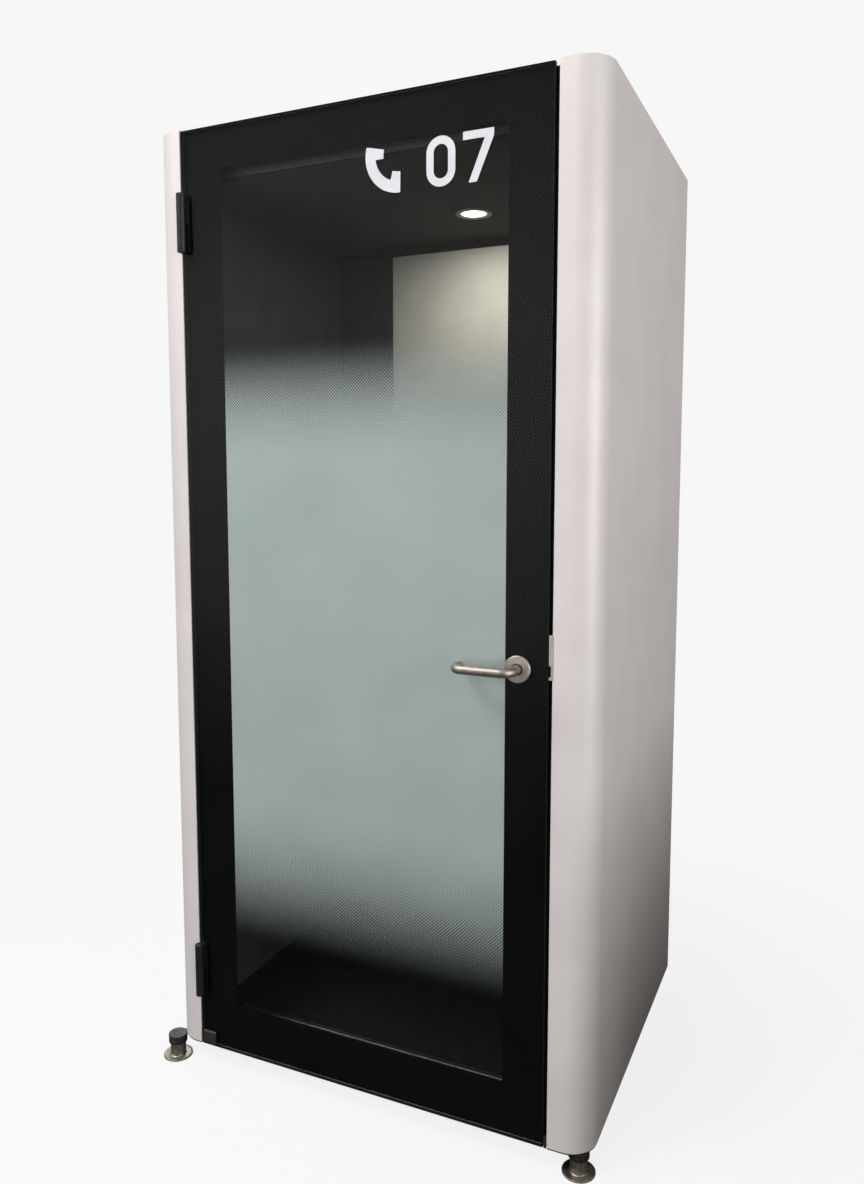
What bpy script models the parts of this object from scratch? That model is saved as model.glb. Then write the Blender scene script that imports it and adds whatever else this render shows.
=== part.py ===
"""One-person indoor telephone booth.

Two folded sheet-metal side shells with large-radius front corners carry a
full-height glass door with a black enamelled border.  Behind the door are the
black frame, sound-insulated walls, a ceiling with a light and a fan, and a
standing-height worktop.  The booth stands on four levelling feet.

Booth coordinates used below: X runs to the right from the left edge of the
door opening, Y runs into the booth from the front plane, Z is up from the
floor.  at() shifts them so that the origin is the centre of the footprint.
"""

import math

import bmesh
import bpy
from mathutils import Vector

# ---------------------------------------------------------------- dimensions
HEIGHT = 2.195            # top edge of the side shells
PANEL_BOTTOM = 0.055      # underside of the side shells
DEPTH = 0.835
OPENING = 0.876           # between the two front returns
LEFT_RETURN = 0.077       # front return of the left shell, with its corner
RIGHT_RETURN = 0.092
CORNER_R = 0.060          # outside radius of the front corners
SHEET = 0.002
FOLD_R = 0.0025           # outside radius of the small folds
LIP = 0.020               # folded edge beside the door
REAR_LIP = 0.018
GAP = 0.0003              # between pieces that touch

TRAY_BOTTOM, TRAY_TOP = 0.0515, 0.0547
TRAY_INSET = 0.0015
BOARD_TOP = 0.088
CARPET_TOP = 0.097
SILL_TOP = 0.099
THRESHOLD_TOP = 0.1003
THRESHOLD_FRONT, THRESHOLD_REAR = 0.1053, 0.1197

WALL_IN_LEFT = -0.027     # cabin faces of the inner walls
WALL_IN_RIGHT = 0.918
WALL_IN_REAR = 0.7767
INNER_SHEET = 0.006
CORE_FRONT = 0.0603
CABIN_FRONT = 0.0523
CEILING = 2.085
CEILING_T = 0.010
ROOF_UNDER, ROOF_TOP = 2.187, 2.190

PAD_LEFT = 0.150
PAD_FRONT = 0.746
PAD_TOP = 2.060
COLUMN_FRONT = 0.745

FRAME_FRONT, FRAME_REAR = 0.014, 0.050
JAMB_W = 0.040
HEAD_UNDER = 2.130
GASKET_FRONT, GASKET_REAR = 0.0112, 0.0137
GASKET_W = 0.012

GLASS_LEFT, GLASS_RIGHT = 0.003, 0.868
GLASS_BOTTOM, GLASS_TOP = 0.053, 2.192
GLASS_T = 0.010
WINDOW = (0.102, 0.775, 0.164, 2.102)      # clear window: x, x, z, z
FILM = (0.333, 1.722)                      # bottom and top of the film
SKIN_FRONT, SKIN_REAR = 0.0103, 0.0107     # enamel and film behind the glass

HINGE_X, HINGE_Y = 0.0086, -0.0115         # door axis
HINGE_R = 0.010
HINGE_PIN_R = 0.004
HINGE_BORE_R = 0.0043
HINGES = {"upper_hinge": (1.927, 2.055), "lower_hinge": (0.183, 0.311)}
HINGE_PLATE_X = (0.0152, 0.0240)

HANDLE_X, HANDLE_Z = 0.806, 1.049
ROSE_R, ROSE_T = 0.0275, 0.008
LEVER_R = 0.0095
LEVER_OUT = 0.0467        # from the rose's face to the bar's centre
LEVER_LENGTH = 0.1185
LEVER_BEND = 0.020
LEVER_RETURN = 0.040
SPINDLE_HALF = 0.004
SOCKET_HALF = 0.0043

LOCK = (0.781, 0.866, 0.011, 0.032, 0.979, 1.119)
LOCK_NOTCH = (0.965, 1.135)
BOLT = (0.848, 0.8725, 0.016, 0.028, 1.041, 1.057)
STRIKE = (1.032, 1.121)

LIGHT = (0.500, 0.510)
FAN = (0.790, 0.260)
WORKTOP = (1.040, 1.062, 0.445)            # underside, top, front edge
MODULE = (0.015, 0.105, 1.095, 1.185)
ROCKER = (0.060, 1.166)
INLET = (0.060, 0.150)

FLANGE_R, STEM_R, COLLAR_R, STUD_R = 0.035, 0.0185, 0.0223, 0.006
STEM_TOP, COLLAR_TOP = 0.034, 0.0512
FEET = {
    "front_left": (-0.078, 0.006),
    "front_right": (0.936, 0.033),
    "rear_left": (-0.040, 0.795),
    "rear_right": (0.908, 0.795),
}

LEVER_FRONT = -(GAP + ROSE_T + LEVER_OUT + LEVER_R)
CENTRE_X = (FEET["front_left"][0] + FEET["front_right"][0]) / 2
CENTRE_Y = (LEVER_FRONT + DEPTH) / 2


# ------------------------------------------------------------------- helpers
def at(x, y, z):
    return Vector((x - CENTRE_X, y - CENTRE_Y, z))


for old in list(bpy.data.objects):
    bpy.data.objects.remove(old, do_unlink=True)
collection = bpy.context.scene.collection


def material(name, colour, roughness, metallic=0.0, transmission=0.0, emission=0.0):
    made = bpy.data.materials.new(name)
    made.use_nodes = True
    shader = made.node_tree.nodes["Principled BSDF"]
    shader.inputs["Base Color"].default_value = (*colour, 1.0)
    shader.inputs["Roughness"].default_value = roughness
    shader.inputs["Metallic"].default_value = metallic
    shader.inputs["Transmission Weight"].default_value = transmission
    if emission:
        shader.inputs["Emission Color"].default_value = (*colour, 1.0)
        shader.inputs["Emission Strength"].default_value = emission
    made.diffuse_color = (*colour, 1.0)
    return made


SILVER = (0.66, 0.63, 0.61)
BLACK = (0.012, 0.012, 0.013)
STEEL = (0.50, 0.46, 0.42)


def axis_empty(name, origin, parent=None):
    empty = bpy.data.objects.new(name, None)
    empty.empty_display_size = 0.05
    collection.objects.link(empty)
    empty.location = origin - (world_of(parent) if parent else Vector())
    empty.parent = parent
    return empty


def world_of(obj):
    place = Vector()
    while obj:
        place += obj.location
        obj = obj.parent
    return place


def add(name, bm, origin, look, parent=None, rotation=None, smooth=None):
    """A new object holding the bmesh, whose points are relative to origin."""
    bmesh.ops.recalc_face_normals(bm, faces=bm.faces)
    mesh = bpy.data.meshes.new(name)
    bm.to_mesh(mesh)
    bm.free()
    if smooth:
        mesh.shade_smooth()
        mesh.set_sharp_from_angle(angle=math.radians(smooth))
    obj = bpy.data.objects.new(name, mesh)
    collection.objects.link(obj)
    parent = parent or booth
    obj.parent = parent
    obj.location = origin - world_of(parent)
    if rotation:
        obj.rotation_euler = rotation
    if look:
        mesh.materials.append(look)
    return obj


def soften(obj, width, segments=1):
    edge = obj.modifiers.new("soft_edges", "BEVEL")
    edge.width = width
    edge.segments = segments
    edge.limit_method = "ANGLE"
    edge.angle_limit = math.radians(40)
    edge.use_clamp_overlap = True
    return obj


def block(name, x, y, z, look, parent=None, soft=0.0, segments=1):
    """A box from pairs of limits along each axis, centred on its own origin."""
    centre = Vector(((x[0] + x[1]) / 2, (y[0] + y[1]) / 2, (z[0] + z[1]) / 2))
    size = Vector((x[1] - x[0], y[1] - y[0], z[1] - z[0]))
    bm = bmesh.new()
    bmesh.ops.create_cube(bm, size=1.0)
    bmesh.ops.scale(bm, vec=size, verts=bm.verts)
    obj = add(name, bm, at(*centre), look, parent)
    if soft:
        soften(obj, soft, segments)
    return obj


def prism(name, outline, low, high, look, axis="Z", parent=None, smooth=None, origin=None):
    """An outline in the plane across the axis, extruded from low to high.

    The outline is (x, y) across Z, (x, z) across Y and (y, z) across X.
    """

    def point(a, b, h):
        return {"Z": Vector((a, b, h)), "Y": Vector((a, h, b)), "X": Vector((h, a, b))}[axis]

    if origin is None:
        a = [p[0] for p in outline]
        b = [p[1] for p in outline]
        origin = point((min(a) + max(a)) / 2, (min(b) + max(b)) / 2, (low + high) / 2)
    else:
        origin = Vector(origin)
    bm = bmesh.new()
    face = bm.faces.new([bm.verts.new(point(a, b, low) - origin) for a, b in outline])
    grown = bmesh.ops.extrude_face_region(bm, geom=[face])
    bmesh.ops.translate(
        bm,
        vec=point(0, 0, high) - point(0, 0, low),
        verts=[g for g in grown["geom"] if isinstance(g, bmesh.types.BMVert)],
    )
    return add(name, bm, at(*origin), look, parent, smooth=smooth)


def turned(name, profile, origin, look, parent=None, steps=32, rotation=None, smooth=40, phase=0.0):
    """A closed (radius, height) profile spun about the local Z axis."""
    bm = bmesh.new()
    rings = []
    for radius, height in profile:
        if radius < 1e-9:
            rings.append([bm.verts.new((0, 0, height))] * steps)
        else:
            rings.append(
                [
                    bm.verts.new(
                        (
                            radius * math.cos(phase + 2 * math.pi * i / steps),
                            radius * math.sin(phase + 2 * math.pi * i / steps),
                            height,
                        )
                    )
                    for i in range(steps)
                ]
            )
    closed = profile[0][0] > 1e-9
    pairs = list(zip(rings, rings[1:]))
    if closed:
        pairs.append((rings[-1], rings[0]))
    for one, two in pairs:
        for i in range(steps):
            j = (i + 1) % steps
            corners = []
            for v in (one[i], one[j], two[j], two[i]):
                if v not in corners:
                    corners.append(v)
            bm.faces.new(corners)
    return add(name, bm, at(*origin), look, parent, rotation=rotation, smooth=smooth)


def swept(name, path, radius, origin, look, parent=None, sides=20):
    """A round bar along a path in the X-Y plane; (x, y, scale) per ring."""
    bm = bmesh.new()
    rings = []
    for i, (x, y, scale) in enumerate(path):
        before = Vector(path[max(i - 1, 0)][:2])
        after = Vector(path[min(i + 1, len(path) - 1)][:2])
        along = (after - before).normalized()
        across = Vector((-along.y, along.x, 0))
        ring = []
        for k in range(sides):
            turn = 2 * math.pi * k / sides
            offset = across * math.cos(turn) + Vector((0, 0, 1)) * math.sin(turn)
            ring.append(
                bm.verts.new(Vector((x, y, HANDLE_Z)) + offset * radius * scale - Vector(origin))
            )
        rings.append(ring)
    for one, two in zip(rings, rings[1:]):
        for k in range(sides):
            j = (k + 1) % sides
            bm.faces.new((one[k], one[j], two[j], two[k]))
    bm.faces.new(rings[0])
    bm.faces.new(rings[-1])
    return add(name, bm, at(*origin), look, parent, smooth=40)


def arc(cx, cy, radius, start, end, steps):
    """Points on an arc, angles in degrees."""
    return [
        (
            cx + radius * math.cos(math.radians(start + (end - start) * i / steps)),
            cy + radius * math.sin(math.radians(start + (end - start) * i / steps)),
        )
        for i in range(steps + 1)
    ]


def boolean(obj, other, operation):
    """Joins or cuts with a hidden helper."""
    other.hide_render = True
    other.display_type = "WIRE"
    step = obj.modifiers.new(other.name, "BOOLEAN")
    step.operation = operation
    step.solver = "EXACT"
    step.object = other
    return obj


def cut(obj, *others):
    for other in others:
        boolean(obj, other, "DIFFERENCE")
    return obj


def join(obj, *others):
    for other in others:
        boolean(obj, other, "UNION")
    return obj


def boxes(name, limits, parent=None):
    """One helper made of several separate boxes."""
    bm = bmesh.new()
    for x, y, z in limits:
        made = bmesh.ops.create_cube(bm, size=1.0)["verts"]
        bmesh.ops.scale(bm, vec=(x[1] - x[0], y[1] - y[0], z[1] - z[0]), verts=made)
        bmesh.ops.translate(
            bm,
            vec=at((x[0] + x[1]) / 2, (y[0] + y[1]) / 2, (z[0] + z[1]) / 2),
            verts=made,
        )
    return add(name, bm, Vector(), None, parent)


def rod(name, x, y, z, radius, length, axis="Z", steps=32, parent=None):
    """A plain cylinder helper centred at the point."""
    turn = {"Z": None, "Y": (math.radians(90), 0, 0), "X": (0, math.radians(90), 0)}[axis]
    return turned(
        name,
        [(0, length / 2), (radius, length / 2), (radius, -length / 2), (0, -length / 2)],
        (x, y, z),
        None,
        parent,
        steps=steps,
        rotation=turn,
        smooth=None,
    )


booth = axis_empty("booth", Vector())
door = axis_empty("door_axis", at(HINGE_X, HINGE_Y, 1.1), booth)
lever_axis = axis_empty("lever_axis", at(HANDLE_X, 0, HANDLE_Z), door)

painted = material("silver_paint", SILVER, 0.42, 0.35)
tray_black = material("tray_black", BLACK, 0.5, 0.2)

# --------------------------------------------------------------------- base
tray = prism(
    "base_tray",
    [(-LEFT_RETURN + TRAY_INSET, DEPTH - TRAY_INSET)]
    + arc(-LEFT_RETURN + CORNER_R, CORNER_R, CORNER_R - TRAY_INSET, 180, 270, 16)
    + [
        (-0.001, TRAY_INSET),
        (-0.001, FRAME_FRONT + 0.0005),
        (OPENING + 0.001, FRAME_FRONT + 0.0005),
        (OPENING + 0.001, TRAY_INSET),
    ]
    + arc(OPENING + RIGHT_RETURN - CORNER_R, CORNER_R, CORNER_R - TRAY_INSET, 270, 360, 16)
    + [(OPENING + RIGHT_RETURN - TRAY_INSET, DEPTH - TRAY_INSET)],
    TRAY_BOTTOM,
    TRAY_TOP,
    tray_black,
)
ear_x, ear_y = FEET["front_left"]
join(
    tray,
    prism(
        "cut_ear_web",
        [
            (ear_x - 0.008, ear_y + 0.008),
            (ear_x + 0.008, ear_y - 0.008),
            (ear_x + 0.048, ear_y + 0.032),
            (ear_x + 0.032, ear_y + 0.048),
        ],
        TRAY_BOTTOM + 0.0002,
        TRAY_TOP - 0.0002,
        None,
    ),
    rod("cut_foot_ear", ear_x, ear_y, (TRAY_BOTTOM + TRAY_TOP) / 2, COLLAR_R,
        TRAY_TOP - TRAY_BOTTOM - 0.0002),
)

left_out = -LEFT_RETURN + SHEET + GAP
right_out = OPENING + RIGHT_RETURN - SHEET - GAP
rear_in = DEPTH - SHEET - GAP
block("floor_board", (left_out, right_out), (CORE_FRONT, rear_in), (PANEL_BOTTOM, BOARD_TOP),
      material("plywood", (0.42, 0.30, 0.19), 0.75))
prism(
    "sill_rail",
    [
        (FRAME_FRONT, 0.058),
        (FRAME_REAR, 0.058),
        (FRAME_REAR, BOARD_TOP + GAP),
        (THRESHOLD_FRONT - GAP, BOARD_TOP + GAP),
        (THRESHOLD_FRONT - GAP, SILL_TOP),
        (FRAME_FRONT, SILL_TOP),
    ],
    JAMB_W + GAP,
    OPENING - JAMB_W - GAP,
    material("sill_black", (0.015, 0.015, 0.016), 0.45, 0.4),
    axis="X",
)
block("threshold_strip", (JAMB_W + GAP, OPENING - JAMB_W - GAP),
      (THRESHOLD_FRONT, THRESHOLD_REAR), (BOARD_TOP + GAP, THRESHOLD_TOP),
      material("threshold_aluminium", (0.62, 0.62, 0.61), 0.3, 1.0), soft=0.0012)
prism(
    "floor_carpet",
    [
        (WALL_IN_LEFT + GAP, CABIN_FRONT),
        (JAMB_W, CABIN_FRONT),
        (JAMB_W, THRESHOLD_REAR + GAP),
        (OPENING - JAMB_W, THRESHOLD_REAR + GAP),
        (OPENING - JAMB_W, CABIN_FRONT),
        (WALL_IN_RIGHT - GAP, CABIN_FRONT),
        (WALL_IN_RIGHT - GAP, WALL_IN_REAR - GAP),
        (WALL_IN_LEFT + GAP, WALL_IN_REAR - GAP),
    ],
    BOARD_TOP + GAP,
    CARPET_TOP,
    material("dark_carpet", (0.045, 0.044, 0.044), 0.95),
)


# ------------------------------------------------------------------- casing
def shell_outline(edge, out, width):
    """Folded side shell seen from above.

    edge is the X of the folded lip's face, out is -1 to the left or +1 to the
    right, and width is the front return with its corner radius.
    """

    def p(d, y):
        return (edge + out * d, y)

    def bend(d, y, radius, start, end, steps):
        return [p(a, b) for a, b in arc(d, y, radius, start, end, steps)]

    inner = CORNER_R - SHEET
    flat = width - CORNER_R
    return (
        [p(0, LIP)]
        + bend(FOLD_R, FOLD_R, FOLD_R, 180, 270, 4)
        + bend(flat, CORNER_R, CORNER_R, 270, 360, 24)
        + bend(width - FOLD_R, DEPTH - FOLD_R, FOLD_R, 0, 90, 4)
        + [
            p(width - REAR_LIP, DEPTH),
            p(width - REAR_LIP, DEPTH - SHEET),
            p(width - SHEET, DEPTH - SHEET),
        ]
        + bend(flat, CORNER_R, inner, 360, 270, 24)
        + [p(SHEET, SHEET), p(SHEET, LIP)]
    )


prism("left_shell", shell_outline(0.0, -1, LEFT_RETURN), PANEL_BOTTOM, HEIGHT, painted, smooth=30)
prism("right_shell", shell_outline(OPENING, 1, RIGHT_RETURN), PANEL_BOTTOM, HEIGHT,
      painted.copy(), smooth=30)
rear = block(
    "rear_panel",
    (-LEFT_RETURN + REAR_LIP + GAP, OPENING + RIGHT_RETURN - REAR_LIP - GAP),
    (DEPTH - SHEET, DEPTH),
    (PANEL_BOTTOM, HEIGHT),
    painted.copy(),
)
cut(rear, boxes("cut_inlet", [((INLET[0] - 0.0265, INLET[0] + 0.0265), (DEPTH - 0.02, DEPTH + 0.02),
                              (INLET[1] - 0.0165, INLET[1] + 0.0165))]))
clear = SHEET + GAP
roof = prism(
    "roof_panel",
    [(left_out, rear_in)]
    + arc(-LEFT_RETURN + CORNER_R, CORNER_R, CORNER_R - clear, 180, 270, 16)
    + [
        (-clear, clear),
        (-clear, LIP + GAP),
        (OPENING + clear, LIP + GAP),
        (OPENING + clear, clear),
    ]
    + arc(OPENING + RIGHT_RETURN - CORNER_R, CORNER_R, CORNER_R - clear, 270, 360, 16)
    + [(right_out, rear_in)],
    ROOF_UNDER,
    ROOF_TOP,
    material("roof_paint", (0.30, 0.29, 0.28), 0.5, 0.3),
)
cut(roof, rod("cut_roof_duct", *FAN, ROOF_TOP, 0.055, 0.02))

foam = material("acoustic_core", (0.10, 0.10, 0.10), 0.95)
core_top = ROOF_UNDER - GAP
side_in_left = WALL_IN_LEFT - INNER_SHEET
side_in_right = WALL_IN_RIGHT + INNER_SHEET
rear_core_front = WALL_IN_REAR + INNER_SHEET + GAP
block("left_core", (left_out, side_in_left - GAP), (CORE_FRONT, rear_in),
      (BOARD_TOP + GAP, core_top), foam)
block("right_core", (side_in_right + GAP, right_out), (CORE_FRONT, rear_in),
      (BOARD_TOP + GAP, core_top), foam.copy())
rear_core = block("rear_core", (side_in_left, side_in_right), (rear_core_front, rear_in),
                  (BOARD_TOP + GAP, core_top), foam.copy())
cut(rear_core, boxes("cut_inlet_bay", [((INLET[0] - 0.03, INLET[0] + 0.03), (DEPTH - 0.025, DEPTH + 0.02),
                                       (INLET[1] - 0.02, INLET[1] + 0.02))]))
roof_core = block("roof_core", (side_in_left, side_in_right),
                  (CABIN_FRONT, WALL_IN_REAR + INNER_SHEET),
                  (CEILING + CEILING_T + GAP, core_top), foam.copy())
cut(
    roof_core,
    boxes("cut_fan_bay", [((FAN[0] - 0.062, FAN[0] + 0.062), (FAN[1] - 0.062, FAN[1] + 0.062),
                           (2.05, 2.25))]),
    rod("cut_light_bay", *LIGHT, 2.14, 0.043, 0.2),
)

# ----------------------------------------------------------- cabin linings
felt = material("dark_felt", (0.040, 0.040, 0.042), 0.95)
lining_z = (BOARD_TOP + GAP, CEILING - GAP)
block("left_inner_wall", (side_in_left, WALL_IN_LEFT), (CABIN_FRONT, WALL_IN_REAR + INNER_SHEET),
      lining_z, felt)
block("right_inner_wall", (WALL_IN_RIGHT, side_in_right), (CABIN_FRONT, WALL_IN_REAR + INNER_SHEET),
      lining_z, felt.copy())
block("rear_inner_wall", (WALL_IN_LEFT + GAP, WALL_IN_RIGHT - GAP),
      (WALL_IN_REAR, WALL_IN_REAR + INNER_SHEET), lining_z, felt.copy())
column = block("service_column", (WALL_IN_LEFT + GAP, PAD_LEFT - GAP),
               (COLUMN_FRONT, WALL_IN_REAR - GAP), (CARPET_TOP + GAP, PAD_TOP),
               material("column_dark", (0.035, 0.035, 0.037), 0.7), soft=0.002)
block("rear_acoustic_pad", (PAD_LEFT, WALL_IN_RIGHT - GAP), (PAD_FRONT, WALL_IN_REAR - GAP),
      (CARPET_TOP + GAP, PAD_TOP), material("cream_felt", (0.56, 0.54, 0.45), 0.9),
      soft=0.003, segments=2)
ceiling = block("ceiling_panel", (side_in_left, side_in_right),
                (CABIN_FRONT, WALL_IN_REAR + INNER_SHEET), (CEILING, CEILING + CEILING_T),
                material("ceiling_dark", (0.035, 0.034, 0.034), 0.85))
cut(
    ceiling,
    rod("cut_light_hole", *LIGHT, CEILING, 0.040, 0.06),
    rod("cut_fan_hole", *FAN, CEILING, 0.055, 0.06),
)

# --------------------------------------------------------------- door frame
frame_black = material("frame_black", (0.010, 0.010, 0.011), 0.4, 0.3)
frame_z = (0.058, core_top)
behind_lip = LIP + 0.0004
prism(
    "left_jamb",
    [
        (0.0004, FRAME_FRONT),
        (JAMB_W, FRAME_FRONT),
        (JAMB_W, FRAME_REAR),
        (-0.052, FRAME_REAR),
        (-0.052, behind_lip),
        (0.0004, behind_lip),
    ],
    *frame_z,
    frame_black,
)
right_jamb = prism(
    "right_jamb",
    [
        (OPENING - JAMB_W, FRAME_FRONT),
        (OPENING - 0.0004, FRAME_FRONT),
        (OPENING - 0.0004, behind_lip),
        (OPENING + 0.068, behind_lip),
        (OPENING + 0.068, FRAME_REAR),
        (OPENING - JAMB_W, FRAME_REAR),
    ],
    *frame_z,
    frame_black.copy(),
)
cut(
    right_jamb,
    boxes("cut_lock_notch", [((0.82, 0.8744), (0.005, 0.036), LOCK_NOTCH)]),
    boxes("cut_strike_notch", [((0.83, 0.90), (0.006, behind_lip), (LOCK_NOTCH[0] + 0.0002, LOCK_NOTCH[1] - 0.0002))]),
)
block("head_rail", (JAMB_W + GAP, OPENING - JAMB_W - GAP), (FRAME_FRONT, FRAME_REAR),
      (HEAD_UNDER, core_top), frame_black.copy())
g_left, g_right, g_bottom, g_top = 0.012, 0.864, 0.066, 2.182
prism(
    "door_gasket",
    [
        (g_left, g_bottom),
        (g_right, g_bottom),
        (g_right, LOCK_NOTCH[0] - 0.003),
        (g_right - GASKET_W, LOCK_NOTCH[0] - 0.003),
        (g_right - GASKET_W, g_bottom + GASKET_W),
        (g_left + GASKET_W, g_bottom + GASKET_W),
        (g_left + GASKET_W, g_top - GASKET_W),
        (g_right - GASKET_W, g_top - GASKET_W),
        (g_right - GASKET_W, LOCK_NOTCH[1] + 0.003),
        (g_right, LOCK_NOTCH[1] + 0.003),
        (g_right, g_top),
        (g_left, g_top),
    ],
    GASKET_FRONT,
    GASKET_REAR,
    material("gasket_rubber", (0.02, 0.02, 0.02), 0.8),
    axis="Y",
)
prism(
    "strike_plate",
    [
        (0.8697, -0.0016),
        (0.8780, -0.0016),
        (0.8780, -GAP),
        (0.8756, -GAP),
        (0.8756, 0.0190),
        (0.8740, 0.0190),
        (0.8740, -GAP),
        (0.8697, -GAP),
    ],
    *STRIKE,
    material("strike_steel", (0.55, 0.50, 0.45), 0.35, 1.0),
)
strike = bpy.data.objects["strike_plate"]
cut(strike, boxes("cut_strike_mouth", [((0.860, 0.8739), (-0.01, 0.01),
                                        (BOLT[4] - 0.003, BOLT[5] + 0.003))]))

# --------------------------------------------------------------------- door
glass = block("door_glass", (GLASS_LEFT, GLASS_RIGHT), (0.0, GLASS_T), (GLASS_BOTTOM, GLASS_TOP),
              material("toughened_glass", (0.80, 0.86, 0.84), 0.02, 0.0, transmission=1.0),
              parent=door, soft=0.0008)
cut(glass, rod("cut_glass_hole", HANDLE_X, GLASS_T / 2, HANDLE_Z, 0.010, 0.05, axis="Y",
               steps=24, parent=door))
skin_mid = (SKIN_FRONT + SKIN_REAR) / 2
border = block("glass_border", (GLASS_LEFT + 0.001, GLASS_RIGHT - 0.001), (SKIN_FRONT, SKIN_REAR),
               (GLASS_BOTTOM + 0.001, GLASS_TOP - 0.001),
               material("black_enamel", (0.004, 0.004, 0.005), 0.25), parent=door)
cut(
    border,
    boxes("cut_window", [(WINDOW[:2], (skin_mid - 0.01, skin_mid + 0.01), WINDOW[2:])], parent=door),
    rod("cut_enamel_hole", HANDLE_X, skin_mid, HANDLE_Z, 0.012, 0.05, axis="Y", steps=24,
        parent=door),
)
block("privacy_film", (WINDOW[0] + GAP, WINDOW[1] - GAP), (SKIN_FRONT, SKIN_REAR), FILM,
      material("frosted_film", (0.42, 0.47, 0.46), 0.6), parent=door)
block("corner_patch", (0.0087, 0.0446), (-0.0033, -GAP), (0.060, 0.0906),
      material("patch_black", (0.014, 0.014, 0.015), 0.35), parent=door, soft=0.0008)

hinge_black = material("hinge_black", (0.012, 0.012, 0.013), 0.38, 0.5)
hinge_pin = material("pin_steel", (0.45, 0.45, 0.45), 0.3, 1.0)
for hinge, (low, high) in HINGES.items():
    mid = (low + high) / 2
    chamfer = 0.0015

    def knuckle(name, z0, z1, chamfer_low, look, parent):
        height = z1 - z0
        if chamfer_low:
            profile = [
                (HINGE_BORE_R, height),
                (HINGE_R, height),
                (HINGE_R, chamfer),
                (HINGE_R - chamfer, 0),
                (HINGE_BORE_R, 0),
            ]
        else:
            profile = [
                (HINGE_BORE_R, height),
                (HINGE_R - chamfer, height),
                (HINGE_R, height - chamfer),
                (HINGE_R, 0),
                (HINGE_BORE_R, 0),
            ]
        return turned(name, profile, (HINGE_X, HINGE_Y, z0), look, parent, steps=28, smooth=35)

    frame_leaf = knuckle(hinge + "_frame_leaf", low, mid - GAP / 2, True, hinge_black, booth)
    join(frame_leaf, boxes("cut_" + hinge + "_web",
                           [((0.0005, 0.0025), (-0.0100, 0.0136), (low + 0.0005, mid - 0.0010))]))
    door_leaf = knuckle(hinge + "_door_leaf", mid + GAP / 2, high, False, hinge_black.copy(), door)
    x0, x1 = HINGE_PLATE_X
    join(
        door_leaf,
        prism(
            "cut_" + hinge + "_bridge",
            [(0.0060, -0.0030), (0.0170, -0.0070), (x1, -0.0035), (x1, -GAP), (0.0060, -GAP)],
            mid + 0.0006,
            high - 0.0002,
            None,
            parent=door,
        ),
        boxes("cut_" + hinge + "_plate",
              [((x0, x1 - 0.0001), (-0.0034, -GAP - 0.0001), (low + 0.0002, high - 0.0005))],
              parent=door),
    )
    turned(
        hinge + "_pin",
        [
            (0, high - low - 0.004),
            (HINGE_PIN_R - 0.0006, high - low - 0.004),
            (HINGE_PIN_R, high - low - 0.005),
            (HINGE_PIN_R, 0.001),
            (HINGE_PIN_R - 0.0006, 0),
            (0, 0),
        ],
        (HINGE_X, HINGE_Y, low + 0.002),
        hinge_pin,
        booth,
        steps=20,
    )

# ------------------------------------------------------------ lock and lever
handle_steel = material("blasted_steel", STEEL, 0.38, 1.0)


def rose(name, inner_y, out, look):
    """Round rose on the door, out is -1 in front of it and +1 behind it."""
    return turned(
        name,
        [
            (0.0100, 0.0),
            (0.0100, ROSE_T),
            (ROSE_R - 0.0020, ROSE_T),
            (ROSE_R - 0.0006, ROSE_T - 0.0006),
            (ROSE_R, ROSE_T - 0.0020),
            (ROSE_R, 0.0),
        ][::-1],
        (HANDLE_X, inner_y, HANDLE_Z),
        look,
        door,
        steps=48,
        rotation=(math.radians(90) * (1 if out < 0 else -1), 0, 0),
    )


def lever(name, rose_y, out, look):
    """Return-to-door lever: neck, bend, bar, bend, short return."""

    def p(dx, dy, scale=1.0):
        return (HANDLE_X - dx, rose_y + out * dy, scale)

    bend = LEVER_BEND
    reach = LEVER_OUT
    path = [p(0, -0.0053, 0.95), p(0, -0.0047), p(0, 0.006), p(0, reach - bend)]
    for i in range(1, 9):
        turn = math.radians(90 * i / 8)
        path.append(p(bend * (1 - math.cos(turn)), reach - bend + bend * math.sin(turn)))
    path.append(p((LEVER_LENGTH) / 2, reach))
    for i in range(0, 9):
        turn = math.radians(90 * i / 8)
        path.append(
            p(LEVER_LENGTH - bend + bend * math.sin(turn), reach - bend + bend * math.cos(turn))
        )
    end = reach - LEVER_RETURN
    path += [p(LEVER_LENGTH, end + 0.0012), p(LEVER_LENGTH, end + 0.0003, 0.96), p(LEVER_LENGTH, end, 0.88)]
    bar = swept(name, path, LEVER_R, (HANDLE_X, 0, HANDLE_Z), look, lever_axis)
    near, far = rose_y - out * 0.010, rose_y + out * 0.0145
    return cut(
        bar,
        boxes(
            "cut_" + name + "_socket",
            [
                (
                    (HANDLE_X - SOCKET_HALF, HANDLE_X + SOCKET_HALF),
                    (min(near, far), max(near, far)),
                    (HANDLE_Z - SOCKET_HALF, HANDLE_Z + SOCKET_HALF),
                )
            ],
            parent=lever_axis,
        ),
    )


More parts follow.
